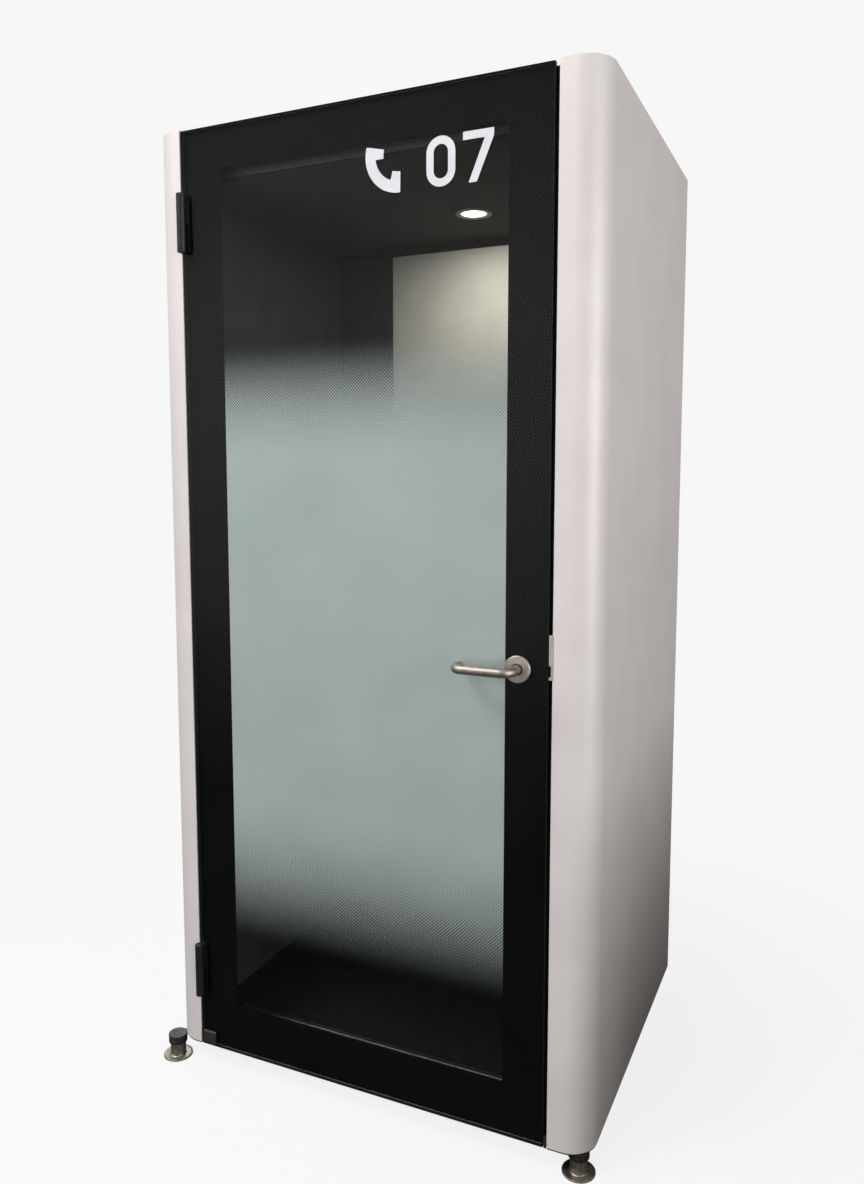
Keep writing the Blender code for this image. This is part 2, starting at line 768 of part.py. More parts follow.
outer_face = -GAP - ROSE_T
inner_face = LOCK[3] + GAP + ROSE_T
rose("outer_rose", -GAP, -1, handle_steel)
rose("inner_rose", LOCK[3] + GAP, 1, handle_steel.copy())
lever("outer_lever", outer_face, -1, handle_steel.copy())
lever("inner_lever", inner_face, 1, handle_steel.copy())
block(
    "spindle",
    (HANDLE_X - SPINDLE_HALF, HANDLE_X + SPINDLE_HALF),
    (outer_face - 0.0140, inner_face + 0.0140),
    (HANDLE_Z - SPINDLE_HALF, HANDLE_Z + SPINDLE_HALF),
    material("spindle_steel", (0.4, 0.4, 0.4), 0.35, 1.0),
    parent=lever_axis,
    soft=0.0004,
)
case = block("lock_case", LOCK[0:2], LOCK[2:4], LOCK[4:6],
             material("lock_black", (0.02, 0.02, 0.021), 0.4, 0.4), parent=door, soft=0.002)
cut(
    case,
    rod("cut_spindle_hole", HANDLE_X, (LOCK[2] + LOCK[3]) / 2, HANDLE_Z, 0.007, 0.06, axis="Y",
        steps=24, parent=door),
    boxes("cut_bolt_channel",
          [((0.8340, 0.8800), (BOLT[2] - GAP, BOLT[3] + GAP), (BOLT[4] - GAP, BOLT[5] + GAP))],
          parent=door),
)
prism(
    "latch_bolt",
    [
        (BOLT[0], BOLT[2]),
        (BOLT[1], BOLT[2]),
        (BOLT[1], BOLT[2] + 0.003),
        (BOLT[1] - 0.006, BOLT[3]),
        (BOLT[0], BOLT[3]),
    ],
    BOLT[4],
    BOLT[5],
    material("bolt_nickel", (0.60, 0.58, 0.54), 0.25, 1.0),
    parent=door,
)

# ------------------------------------------------------- light, fan, power
turned(
    "light_housing",
    [
        (0, 0.0400),
        (0.0385, 0.0400),
        (0.0385, -GAP),
        (0.0460, -GAP),
        (0.0460, -0.0020),
        (0.0445, -0.0035),
        (0.0345, -0.0035),
        (0.0338, -0.0028),
        (0.0338, 0.0050),
        (0, 0.0050),
    ],
    (*LIGHT, CEILING),
    material("light_trim", (0.75, 0.74, 0.72), 0.4),
    steps=28,
)
turned(
    "light_lens",
    [(0, 0.0047), (0.0335, 0.0047), (0.0335, -0.0012), (0.0300, -0.0022), (0.0180, -0.0030), (0, -0.0033)],
    (*LIGHT, CEILING),
    material("light_diffuser", (1.0, 0.93, 0.80), 0.4, emission=4.0),
    steps=28,
)
slots = [-0.051 + 0.017 * i for i in range(7)]
vent_black = material("vent_black", (0.018, 0.018, 0.018), 0.5)
grille = block("ceiling_grille", (FAN[0] - 0.075, FAN[0] + 0.075), (FAN[1] - 0.075, FAN[1] + 0.075),
               (CEILING - 0.0035, CEILING - GAP), vent_black, soft=0.001)
cut(grille, boxes("cut_grille_slots", [
    ((FAN[0] - 0.055, FAN[0] + 0.055), (FAN[1] + s - 0.005, FAN[1] + s + 0.005), (2.05, 2.12))
    for s in slots]))
cowl = block("roof_grille", (FAN[0] - 0.075, FAN[0] + 0.075), (FAN[1] - 0.075, FAN[1] + 0.075),
             (ROOF_TOP + GAP, ROOF_TOP + 0.0042), vent_black.copy(), soft=0.001)
cut(cowl, boxes("cut_cowl_slots", [
    ((FAN[0] - 0.055, FAN[0] + 0.055), (FAN[1] + s - 0.005, FAN[1] + s + 0.005), (2.17, 2.21))
    for s in slots]))

fan_low = CEILING + CEILING_T + GAP
housing = block("fan_housing", (FAN[0] - 0.060, FAN[0] + 0.060), (FAN[1] - 0.060, FAN[1] + 0.060),
                (fan_low, fan_low + 0.025), material("fan_frame", (0.02, 0.02, 0.02), 0.5))
cut(housing, rod("cut_fan_bore", *FAN, fan_low + 0.0125, 0.055, 0.06, steps=40))
struts = boxes("cut_fan_struts", [
    ((FAN[0] - 0.0565, FAN[0] + 0.0565), (FAN[1] - 0.0025, FAN[1] + 0.0025), (fan_low + 0.0002, fan_low + 0.0030)),
])
cross = boxes("cut_fan_cross", [
    ((FAN[0] - 0.0025, FAN[0] + 0.0025), (FAN[1] - 0.0565, FAN[1] + 0.0565), (fan_low + 0.0003, fan_low + 0.0029)),
])
join(
    housing,
    struts,
    cross,
    rod("cut_motor_disc", *FAN, fan_low + 0.00175, 0.019, 0.0030, steps=28),
    rod("cut_motor_shaft", *FAN, fan_low + 0.0085, 0.003, 0.0150, steps=16),
)
rotor = turned(
    "fan_rotor",
    [
        (0, 0.0150),
        (0.0180, 0.0150),
        (0.0190, 0.0140),
        (0.0190, 0.0),
        (0.0034, 0.0),
        (0.0034, 0.0125),
        (0, 0.0125),
    ],
    (*FAN, fan_low + 0.0040),
    material("fan_blades", (0.03, 0.03, 0.03), 0.45),
    steps=28,
)
blades = bmesh.new()
BLADES = 7
for k in range(BLADES):
    turn = 2 * math.pi * k / BLADES
    corners = []
    for radius, half, rise in ((0.0175, 0.0055, 0.0045), (0.036, 0.010, 0.0052), (0.053, 0.0145, 0.0055)):
        for side in (-1, 1):
            for skin in (-0.0008, 0.0008):
                bend_angle = turn + side * half / radius
                corners.append(
                    blades.verts.new(
                        (
                            radius * math.cos(bend_angle),
                            radius * math.sin(bend_angle),
                            0.0072 + side * rise + skin,
                        )
                    )
                )
    for a in (0, 4):
        blades.faces.new((corners[a], corners[a + 2], corners[a + 6], corners[a + 4]))
        blades.faces.new((corners[a + 1], corners[a + 3], corners[a + 7], corners[a + 5]))
        blades.faces.new((corners[a], corners[a + 1], corners[a + 5], corners[a + 4]))
        blades.faces.new((corners[a + 2], corners[a + 3], corners[a + 7], corners[a + 6]))
    blades.faces.new((corners[0], corners[1], corners[3], corners[2]))
    blades.faces.new((corners[8], corners[9], corners[11], corners[10]))
join(rotor, add("cut_fan_blades", blades, at(*FAN, fan_low + 0.0040), None))

module = block("power_module", MODULE[0:2], (COLUMN_FRONT - 0.0040, COLUMN_FRONT - GAP), MODULE[2:4],
               material("module_grey", (0.10, 0.10, 0.105), 0.45), soft=0.001)
cut(
    module,
    boxes("cut_rocker_hole", [((ROCKER[0] - 0.0118, ROCKER[0] + 0.0118),
                               (COLUMN_FRONT - 0.02, COLUMN_FRONT + 0.01),
                               (ROCKER[1] - 0.0083, ROCKER[1] + 0.0083))]),
    rod("cut_socket_well", 0.060, COLUMN_FRONT - 0.0040, 1.122, 0.019, 0.0050, axis="Y", steps=32),
)
prism(
    "rocker_switch",
    [
        (COLUMN_FRONT - 0.0011, ROCKER[1] - 0.0070),
        (COLUMN_FRONT - 0.0011, ROCKER[1] + 0.0070),
        (COLUMN_FRONT - 0.0050, ROCKER[1] + 0.0074),
        (COLUMN_FRONT - 0.0060, ROCKER[1]),
        (COLUMN_FRONT - 0.0050, ROCKER[1] - 0.0074),
    ],
    ROCKER[0] - 0.0110,
    ROCKER[0] + 0.0110,
    material("rocker_black", (0.02, 0.02, 0.02), 0.35),
    axis="X",
    origin=(ROCKER[0], COLUMN_FRONT - 0.0030, ROCKER[1]),
)
inlet = block("power_inlet", (INLET[0] - 0.0260, INLET[0] + 0.0260), (DEPTH - 0.0240, DEPTH - 0.0006),
              (INLET[1] - 0.0160, INLET[1] + 0.0160),
              material("inlet_black", (0.02, 0.02, 0.02), 0.5), soft=0.001)
cut(inlet, boxes("cut_inlet_face", [((INLET[0] - 0.0135, INLET[0] + 0.0135),
                                     (DEPTH - 0.0042, DEPTH + 0.01),
                                     (INLET[1] - 0.0085, INLET[1] + 0.0085))]))

block("worktop", (WALL_IN_LEFT + 0.0006, WALL_IN_RIGHT - 0.0006), (WORKTOP[2], COLUMN_FRONT - 0.0006),
      WORKTOP[0:2], material("worktop_laminate", (0.60, 0.58, 0.55), 0.45), soft=0.002, segments=2)

# --------------------------------------------------------------------- feet
foot_steel = material("foot_steel", (0.42, 0.39, 0.35), 0.4, 1.0)
collar_black = material("collar_black", (0.015, 0.015, 0.014), 0.45)
for corner, (x, y) in FEET.items():
    turned(
        corner + "_foot",
        [
            (0, COLLAR_TOP - GAP),
            (STUD_R, COLLAR_TOP - GAP),
            (STUD_R, STEM_TOP),
            (STEM_R - 0.0008, STEM_TOP),
            (STEM_R, STEM_TOP - 0.0008),
            (STEM_R, 0.0050),
            (STEM_R + 0.0015, 0.0036),
            (FLANGE_R - 0.0035, 0.0026),
            (FLANGE_R - 0.0015, 0.0034),
            (FLANGE_R, 0.0024),
            (FLANGE_R, 0.0004),
            (FLANGE_R - 0.0004, 0.0),
            (0, 0),
        ],
        (x, y, 0.0),
        foot_steel if corner == "front_left" else foot_steel.copy(),
        steps=32,
    )
    turned(
        corner + "_foot_collar",
        [
            (STUD_R + 0.0004, COLLAR_TOP),
            (COLLAR_R - 0.0020, COLLAR_TOP),
            (COLLAR_R - 0.0006, COLLAR_TOP - 0.0006),
            (COLLAR_R, COLLAR_TOP - 0.0020),
            (COLLAR_R, STEM_TOP + GAP + 0.0015),
            (COLLAR_R - 0.0015, STEM_TOP + GAP),
            (STUD_R + 0.0004, STEM_TOP + GAP),
        ],
        (x, y, 0.0),
        collar_black if corner == "front_left" else collar_black.copy(),
        steps=28,
    )
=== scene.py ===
"""Looks of the one-person indoor telephone booth.

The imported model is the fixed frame.  Round and soft pieces are rebuilt here
with finer meshes in the same places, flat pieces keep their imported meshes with
softened edges, and every surface gets a material made of nodes.

Booth coordinates, as in at(): X runs to the right from the left edge of the
door opening, Y runs into the booth from the front plane, Z is up from the
floor.  Their zero is read from the door glass.
"""

import math

import bmesh
import bpy
from mathutils import Matrix, Vector, noise


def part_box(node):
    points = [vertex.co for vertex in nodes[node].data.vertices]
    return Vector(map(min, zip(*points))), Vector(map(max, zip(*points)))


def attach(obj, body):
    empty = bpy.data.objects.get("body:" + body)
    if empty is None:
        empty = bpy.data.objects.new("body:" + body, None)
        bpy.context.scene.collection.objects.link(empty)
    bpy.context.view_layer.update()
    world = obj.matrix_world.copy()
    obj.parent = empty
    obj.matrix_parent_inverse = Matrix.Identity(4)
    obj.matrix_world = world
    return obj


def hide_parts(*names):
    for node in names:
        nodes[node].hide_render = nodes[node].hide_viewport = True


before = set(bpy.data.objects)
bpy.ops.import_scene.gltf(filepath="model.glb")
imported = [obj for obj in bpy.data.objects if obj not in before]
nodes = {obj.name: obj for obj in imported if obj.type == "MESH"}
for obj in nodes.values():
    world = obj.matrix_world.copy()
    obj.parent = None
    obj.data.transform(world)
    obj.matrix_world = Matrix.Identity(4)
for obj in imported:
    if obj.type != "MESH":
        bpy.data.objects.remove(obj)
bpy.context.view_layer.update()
scene = bpy.context.scene

GLASS_LO, GLASS_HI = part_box("door_glass")
ZERO = Vector((GLASS_LO.x - 0.003, GLASS_LO.y, 0.0))
GAP = 0.0003
SHEET = 0.002


def at(x, y, z):
    return ZERO + Vector((x, y, z))


# ------------------------------------------------------------------ camera
camera_data = bpy.data.cameras.new("camera")
camera_data.lens = 28.475
camera_data.sensor_width = 36.0
camera_data.sensor_fit = "AUTO"
camera_data.shift_x = 0.0
camera_data.shift_y = -0.0211
camera_data.clip_start = 0.05
camera_data.clip_end = 200.0
camera = bpy.data.objects.new("camera", camera_data)
camera.location = (0.983, -2.12025, 1.430)
camera.rotation_euler = (math.radians(84.45), 0.0, math.radians(24.59))
scene.collection.objects.link(camera)
scene.camera = camera


# ---------------------------------------------------------- node utilities
class Tree:
    """A short way to write a node tree."""

    def __init__(self, owner):
        owner.use_nodes = True
        self.tree = owner.node_tree
        self.tree.nodes.clear()

    def put(self, kind, inputs=None, **props):
        node = self.tree.nodes.new(kind)
        for key, value in props.items():
            setattr(node, key, value)
        for key, value in (inputs or {}).items():
            socket = node.inputs[key]
            if isinstance(value, bpy.types.NodeSocket):
                self.tree.links.new(value, socket)
            else:
                socket.default_value = value
        return node

    def calc(self, operation, a, b=None, clamp=False):
        node = self.put("ShaderNodeMath", {0: a}, operation=operation, use_clamp=clamp)
        if b is not None:
            if isinstance(b, bpy.types.NodeSocket):
                self.tree.links.new(b, node.inputs[1])
            else:
                node.inputs[1].default_value = b
        return node.outputs[0]

    def place(self, stretch=(1.0, 1.0, 1.0)):
        spot = self.put("ShaderNodeTexCoord").outputs["Object"]
        if tuple(stretch) == (1.0, 1.0, 1.0):
            return spot
        return self.put(
            "ShaderNodeVectorMath", {0: spot, 1: stretch}, operation="MULTIPLY"
        ).outputs[0]

    def noise(self, scale, detail=2.0, stretch=(1.0, 1.0, 1.0), distortion=0.0, roughness=0.5):
        return self.put(
            "ShaderNodeTexNoise",
            {
                "Vector": self.place(stretch),
                "Scale": scale,
                "Detail": detail,
                "Roughness": roughness,
                "Distortion": distortion,
            },
        ).outputs["Fac"]

    def spread(self, value, low, high, from_low=0.3, from_high=0.7):
        return self.put(
            "ShaderNodeMapRange",
            {"Value": value, "From Min": from_low, "From Max": from_high, "To Min": low, "To Max": high},
        ).outputs[0]

    def tint(self, factor, dark, light, low=0.3, high=0.7):
        ramp = self.put("ShaderNodeValToRGB", {"Fac": factor})
        ramp.color_ramp.elements[0].position = low
        ramp.color_ramp.elements[0].color = (*dark, 1.0)
        ramp.color_ramp.elements[1].position = high
        ramp.color_ramp.elements[1].color = (*light, 1.0)
        return ramp.outputs["Color"]

    def blend(self, factor, one, two, kind="MIX"):
        node = self.put("ShaderNodeMix", data_type="RGBA", blend_type=kind)
        for socket, value in ((node.inputs[0], factor), (node.inputs[6], one), (node.inputs[7], two)):
            if isinstance(value, bpy.types.NodeSocket):
                self.tree.links.new(value, socket)
            else:
                socket.default_value = value if isinstance(value, float) else (*value, 1.0)
        return node.outputs[2]

    def bump(self, height, strength, distance, normal=None):
        inputs = {"Height": height, "Strength": strength, "Distance": distance}
        if normal is not None:
            inputs["Normal"] = normal
        return self.put("ShaderNodeBump", inputs).outputs[0]

    def principled(self, **sockets):
        names = {
            "colour": "Base Color",
            "roughness": "Roughness",
            "metallic": "Metallic",
            "normal": "Normal",
            "specular": "Specular IOR Level",
            "sheen": "Sheen Weight",
            "sheen_roughness": "Sheen Roughness",
            "coat": "Coat Weight",
            "coat_roughness": "Coat Roughness",
            "alpha": "Alpha",
            "emission": "Emission Color",
            "glow": "Emission Strength",
            "subsurface": "Subsurface Weight",
        }
        inputs = {}
        for key, value in sockets.items():
            if value is None:
                continue
            if isinstance(value, tuple):
                value = (*value, 1.0) if len(value) == 3 else value
            inputs[names[key]] = value
        return self.put("ShaderNodeBsdfPrincipled", inputs).outputs[0]

    def end(self, shader):
        out = self.put("ShaderNodeOutputMaterial")
        self.tree.links.new(shader, out.inputs["Surface"])


def surface(
    name,
    dark,
    light,
    rough=(0.35, 0.45),
    tone_scale=25.0,
    rough_scale=70.0,
    grain_scale=900.0,
    grain=0.0001,
    grain_strength=0.35,
    stretch=(1.0, 1.0, 1.0),
    wear=None,
    **sockets,
):
    """Painted, moulded or metal surface: slow tone changes, uneven gloss, fine grain."""
    made = bpy.data.materials.new(name)
    made.diffuse_color = (*[(a + b) / 2 for a, b in zip(dark, light)], 1.0)
    t = Tree(made)
    tone = t.noise(tone_scale, 4.0, stretch)
    fine = t.noise(grain_scale, 3.0, stretch)
    colour = t.tint(t.calc("ADD", t.calc("MULTIPLY", tone, 0.65), t.calc("MULTIPLY", fine, 0.35)), dark, light)
    gloss = t.spread(t.noise(rough_scale, 5.0, stretch), rough[0], rough[1])
    if wear:
        pointy = t.put("ShaderNodeNewGeometry").outputs["Pointiness"]
        edge = t.calc("MULTIPLY", t.spread(pointy, 0.0, 1.0, 0.52, 0.60), wear[1])
        colour = t.blend(edge, colour, wear[0])
    t.end(
        t.principled(
            colour=colour,
            roughness=gloss,
            normal=t.bump(fine, grain_strength, grain),
            **sockets,
        )
    )
    return made


# --------------------------------------------------------------- materials
def silver_paint(name):
    """Pearl silver powder coat: fine metal flake under a satin skin."""
    made = bpy.data.materials.new(name)
    made.diffuse_color = (0.62, 0.59, 0.57, 1.0)
    t = Tree(made)
    flake = t.put("ShaderNodeTexVoronoi", {"Vector": t.place(), "Scale": 1100.0, "Randomness": 1.0})
    speck = t.spread(flake.outputs["Distance"], 0.0, 1.0, 0.1, 0.7)
    cloud = t.noise(7.0, 4.0)
    base = t.tint(cloud, (0.600, 0.558, 0.545), (0.640, 0.598, 0.584), 0.35, 0.65)
    colour = t.blend(t.calc("MULTIPLY", speck, 0.16), base, (0.80, 0.765, 0.75))
    peel = t.noise(330.0, 3.0)
    t.end(
        t.principled(
            colour=colour,
            metallic=0.15,
            roughness=t.spread(t.noise(150.0, 4.0), 0.46, 0.58),
            specular=0.40,
            normal=t.bump(t.calc("ADD", peel, t.calc("MULTIPLY", speck, 0.25)), 0.22, 0.00012),
        )
    )
    return made


def powder_black(name, tone=0.014, rough=(0.40, 0.52), metallic=0.0, specular=0.35, grain_scale=800.0):
    return surface(
        name,
        (tone * 0.75, tone * 0.75, tone * 0.78),
        (tone * 1.25, tone * 1.25, tone * 1.22),
        rough=rough,
        tone_scale=18.0,
        grain_scale=grain_scale,
        grain=0.00018,
        metallic=metallic,
        specular=specular,
    )


def pane_glass(name):
    """Clear toughened glass: see-through with a mirror skin on its outer side."""
    made = bpy.data.materials.new(name)
    made.diffuse_color = (0.8, 0.86, 0.84, 0.3)
    t = Tree(made)
    wave = t.noise(2.2, 1.0)
    ripple = t.bump(wave, 0.06, 0.0006)
    back = t.put("ShaderNodeNewGeometry").outputs["Backfacing"]
    gloss = t.put("ShaderNodeFresnel", {"IOR": 1.33, "Normal": ripple}).outputs[0]
    front = t.calc("MULTIPLY", gloss, t.calc("SUBTRACT", 1.0, back))
    smear = t.spread(t.noise(9.0, 6.0, (1.0, 1.0, 0.6)), 0.0, 0.045, 0.45, 0.75)
    mirror = t.put(
        "ShaderNodeBsdfAnisotropic", {"Color": (1.0, 1.0, 1.0, 1.0), "Roughness": smear, "Normal": ripple}
    ).outputs[0]
    clear = t.put("ShaderNodeBsdfTransparent", {"Color": (0.955, 0.975, 0.967, 1.0)}).outputs[0]
    mixed = t.put("ShaderNodeMixShader", {0: front, 1: clear, 2: mirror}).outputs[0]
    t.end(mixed)
    return made


def ground_edge(name):
    """Ground and polished edge of the toughened pane."""
    return surface(
        name,
        (0.004, 0.006, 0.007),
        (0.012, 0.017, 0.019),
        rough=(0.35, 0.50),
        tone_scale=40.0,
        grain_scale=1500.0,
        grain=0.00005,
        stretch=(1.0, 1.0, 0.08),
        specular=0.15,
    )


def frosted_film(name, low, low_full, high_full, high):
    """Printed frosting: dots that grow from nothing to full cover at both ends."""
    made = bpy.data.materials.new(name)
    made.diffuse_color = (0.45, 0.5, 0.49, 1.0)
    t = Tree(made)
    axes = t.put("ShaderNodeSeparateXYZ", {0: t.place()})
    x, z = axes.outputs["X"], axes.outputs["Z"]
    rise = t.put("ShaderNodeMapRange",
                 {"Value": z, "From Min": low, "From Max": low_full, "To Min": 0.0, "To Max": 1.0})
    fall = t.put("ShaderNodeMapRange",
                 {"Value": z, "From Min": high, "From Max": high_full, "To Min": 0.0, "To Max": 1.0})
    cover = t.calc("MINIMUM", rise.outputs[0], fall.outputs[0])
    pitch = 0.0052
    across = t.calc("COSINE", t.calc("MULTIPLY", t.calc("ADD", x, z), 2 * math.pi / (pitch * 1.4142)))
    along = t.calc("COSINE", t.calc("MULTIPLY", t.calc("SUBTRACT", x, z), 2 * math.pi / (pitch * 1.4142)))
    screen = t.calc("ADD", t.calc("MULTIPLY", t.calc("ADD", across, along), 0.25), 0.5)
    ink = t.calc("SUBTRACT", t.calc("ADD", screen, t.calc("MULTIPLY", cover, 1.25)), 1.125)
    dots = t.calc("ADD", t.calc("MULTIPLY", ink, 4.0), 0.5, clamp=True)
    soft_rise = t.put("ShaderNodeMapRange", {"Value": z, "From Min": low - 0.011, "From Max": low_full + 0.019,
                                             "To Min": 0.0, "To Max": 1.0}, interpolation_type="SMOOTHSTEP")
    soft_fall = t.put("ShaderNodeMapRange", {"Value": z, "From Min": high, "From Max": high_full + 0.027,
                                             "To Min": 0.0, "To Max": 1.0}, interpolation_type="SMOOTHSTEP")
    even = t.calc("MINIMUM", soft_rise.outputs[0], soft_fall.outputs[0])
    alpha = t.calc("ADD", t.calc("MULTIPLY", dots, 0.45), t.calc("MULTIPLY", even, 0.55), clamp=True)
    tone = t.noise(5.0, 4.0)
    base = t.tint(tone, (0.368, 0.398, 0.394), (0.398, 0.428, 0.424), 0.35, 0.65)
    base = t.blend(t.calc("MULTIPLY", screen, 0.16), base, (0.31, 0.34, 0.335))
    t.end(
        t.principled(
            colour=base,
            roughness=t.spread(t.noise(400.0, 3.0), 0.55, 0.75),
            specular=0.15,
            alpha=alpha,
            normal=t.bump(t.noise(1400.0, 2.0), 0.3, 0.00004),
        )
    )
    return made


def steel(name, dark, light, rough, stretch, lines=900.0, smudge=55.0, metallic=1.0):
    """Stainless steel with fine tool lines or blasting and handling marks."""
    made = bpy.data.materials.new(name)
    made.diffuse_color = (*light, 1.0)
    t = Tree(made)
    line = t.noise(lines, 4.0, stretch, roughness=0.65)
    mark = t.noise(smudge, 6.0, roughness=0.6)
    colour = t.tint(t.calc("ADD", t.calc("MULTIPLY", line, 0.5), t.calc("MULTIPLY", mark, 0.5)), dark, light,
                    0.36, 0.64)
    gloss = t.calc("ADD", t.spread(mark, rough[0], rough[1], 0.3, 0.7), t.spread(line, -0.05, 0.07))
    t.end(
        t.principled(
            colour=colour,
            metallic=metallic,
            roughness=gloss,
            normal=t.bump(line, 0.35, 0.00006),
        )
    )
    return made


def felt(name, dark, light, scale=420.0, depth=0.0006, sheen=0.25):
    """Needle felt: short crossed fibres over a soft, uneven tone."""
    made = bpy.data.materials.new(name)
    made.diffuse_color = (*light, 1.0)
    t = Tree(made)
    fibre_a = t.noise(scale, 8.0, (1.0, 1.0, 0.22), distortion=2.4, roughness=0.7)
    fibre_b = t.noise(scale, 8.0, (0.25, 1.0, 1.0), distortion=2.4, roughness=0.7)
    fibre = t.calc("MAXIMUM", fibre_a, fibre_b)
    tone = t.noise(14.0, 5.0)
    colour = t.tint(t.calc("ADD", t.calc("MULTIPLY", fibre, 0.7), t.calc("MULTIPLY", tone, 0.3)), dark, light,
                    0.40, 0.68)
    t.end(
        t.principled(
            colour=colour,
            roughness=t.spread(fibre, 0.82, 0.98),
            specular=0.2,
            sheen=sheen,
            sheen_roughness=0.5,
            normal=t.bump(fibre, 0.55, depth),
        )
    )
    return made


def carpet(name):
    """Low loop pile: tufts in rows, mixed dark yarns, with painted shade between the tufts."""
    made = bpy.data.materials.new(name)
    made.diffuse_color = (0.035, 0.035, 0.036, 1.0)
    t = Tree(made)
    tuft = t.put("ShaderNodeTexVoronoi", {"Vector": t.place((1.0, 0.72, 1.0)), "Scale": 260.0, "Randomness": 0.55})
    height = t.calc("SUBTRACT", 1.0, t.calc("MULTIPLY", tuft.outputs["Distance"], 1.5))
    hue = t.put("ShaderNodeSeparateColor", {0: tuft.outputs["Color"]}).outputs[0]
    yarn = t.tint(hue, (0.005, 0.005, 0.0055), (0.018, 0.0175, 0.017), 0.1, 0.95)
    fibre = t.noise(1500.0, 3.0)
    # Near-black is mixed in where the tufts are low: painted shade in the hollows of the pile.
    colour = t.blend(t.spread(t.calc("MULTIPLY", height, fibre), 0.0, 0.75, 0.1, 0.6), (0.003, 0.003, 0.0033), yarn)
    t.end(
        t.principled(
            colour=colour,
            roughness=t.spread(fibre, 0.88, 1.0),
            specular=0.05,
            sheen=0.04,
            sheen_roughness=0.6,
            normal=t.bump(t.calc("ADD", height, t.calc("MULTIPLY", fibre, 0.35)), 0.8, 0.0016),
        )
    )
    return made


def laminate(name):
    """Warm pale laminate with a fine linear print."""
    made = bpy.data.materials.new(name)
    made.diffuse_color = (0.6, 0.57, 0.52, 1.0)
    t = Tree(made)
    grain = t.noise(38.0, 7.0, (0.10, 1.0, 1.0), distortion=0.7, roughness=0.62)
    pores = t.noise(520.0, 3.0, (0.05, 1.0, 1.0))
    colour = t.tint(t.calc("ADD", t.calc("MULTIPLY", grain, 0.75), t.calc("MULTIPLY", pores, 0.25)),
                    (0.40, 0.345, 0.275), (0.565, 0.505, 0.420), 0.36, 0.62)
    t.end(
        t.principled(
            colour=colour,
            roughness=t.spread(pores, 0.38, 0.52),
            specular=0.4,
            normal=t.bump(pores, 0.25, 0.00008),
        )
    )
    return made


def plywood(name):
    """Birch ply seen on its edges: thin layers of turned grain."""
    made = bpy.data.materials.new(name)
    made.diffuse_color = (0.42, 0.30, 0.19, 1.0)
    t = Tree(made)
    z = t.put("ShaderNodeSeparateXYZ", {0: t.place()}).outputs["Z"]
    layer = t.calc("SINE", t.calc("MULTIPLY", z, 2 * math.pi / 0.0046))
    grain = t.noise(45.0, 6.0, (0.12, 1.0, 6.0), distortion=0.6)
    colour = t.tint(t.calc("ADD", t.calc("MULTIPLY", layer, 0.10), grain), (0.26, 0.165, 0.090), (0.50, 0.36, 0.225))
    t.end(
        t.principled(
            colour=colour,
            roughness=t.spread(grain, 0.6, 0.8),
            normal=t.bump(grain, 0.4, 0.0002),
        )
    )
    return made


def foam(name):
    """Open-cell insulation."""
    made = bpy.data.materials.new(name)
    made.diffuse_color = (0.08, 0.08, 0.08, 1.0)
    t = Tree(made)
    cell = t.put("ShaderNodeTexVoronoi", {"Vector": t.place(), "Scale": 420.0}).outputs["Distance"]
    colour = t.tint(cell, (0.030, 0.030, 0.031), (0.12, 0.12, 0.118), 0.05, 0.6)
    t.end(
        t.principled(colour=colour, roughness=t.spread(cell, 0.85, 1.0), specular=0.1,
                     normal=t.bump(cell, 0.7, 0.0012))
    )
    return made


def lamp_lens(name, middle):
    """Opal lens, brighter towards its middle."""
    made = bpy.data.materials.new(name)
    made.diffuse_color = (1.0, 0.93, 0.8, 1.0)
    t = Tree(made)
    mottle = t.noise(260.0, 3.0)
    colour = t.tint(mottle, (1.0, 0.86, 0.66), (1.0, 0.91, 0.76))
    away = t.put(
        "ShaderNodeVectorMath",
        {0: t.put("ShaderNodeVectorMath", {0: t.place(), 1: tuple(middle)}, operation="SUBTRACT").outputs[0],
         1: (1.0, 1.0, 0.0)},
        operation="MULTIPLY",
    ).outputs[0]
    radius = t.put("ShaderNodeVectorMath", {0: away}, operation="LENGTH").outputs["Value"]
    glow = t.put("ShaderNodeMapRange", {"Value": radius, "From Min": 0.024, "From Max": 0.0325, "To Min": 7.0,
                                        "To Max": 0.7}, interpolation_type="SMOOTHSTEP").outputs[0]
    t.end(
        t.principled(
            colour=(0.9, 0.88, 0.82),
            roughness=t.spread(mottle, 0.35, 0.5),
            emission=colour,
            glow=glow,
            normal=t.bump(mottle, 0.2, 0.0001),
        )
    )
    return made


silver_left = silver_paint("silver_left")
silver_right = silver_paint("silver_right")
silver_rear = silver_paint("silver_rear")
roof_paint = surface("roof_satin", (0.225, 0.220, 0.214), (0.275, 0.268, 0.262), rough=(0.42, 0.58),
                     grain=0.00012, metallic=0.25, specular=0.4)
tray_paint = powder_black("tray_powder", 0.012, (0.42, 0.55))
sill_paint = powder_black("sill_powder", 0.014, (0.35, 0.5))
frame_paint = powder_black("frame_powder", 0.006, (0.42, 0.54), specular=0.2)
enamel = surface("enamel", (0.0022, 0.0022, 0.0026), (0.0042, 0.0042, 0.0046), rough=(0.30, 0.42),
                 tone_scale=6.0, grain_scale=1200.0, grain=0.00002, specular=0.03)
clear_pane = pane_glass("clear_pane")
pane_edge = ground_edge("pane_edge")
film = frosted_film("dot_film", 0.345, 0.680, 1.450, 1.722)
vinyl = surface("white_vinyl", (0.58, 0.58, 0.61), (0.66, 0.66, 0.69), rough=(0.42, 0.55),
                tone_scale=30.0, grain_scale=700.0, grain=0.00003, specular=0.35)
patch_paint = surface("patch_satin", (0.016, 0.016, 0.017), (0.030, 0.030, 0.031), rough=(0.30, 0.42),
                      grain=0.0001, specular=0.6)
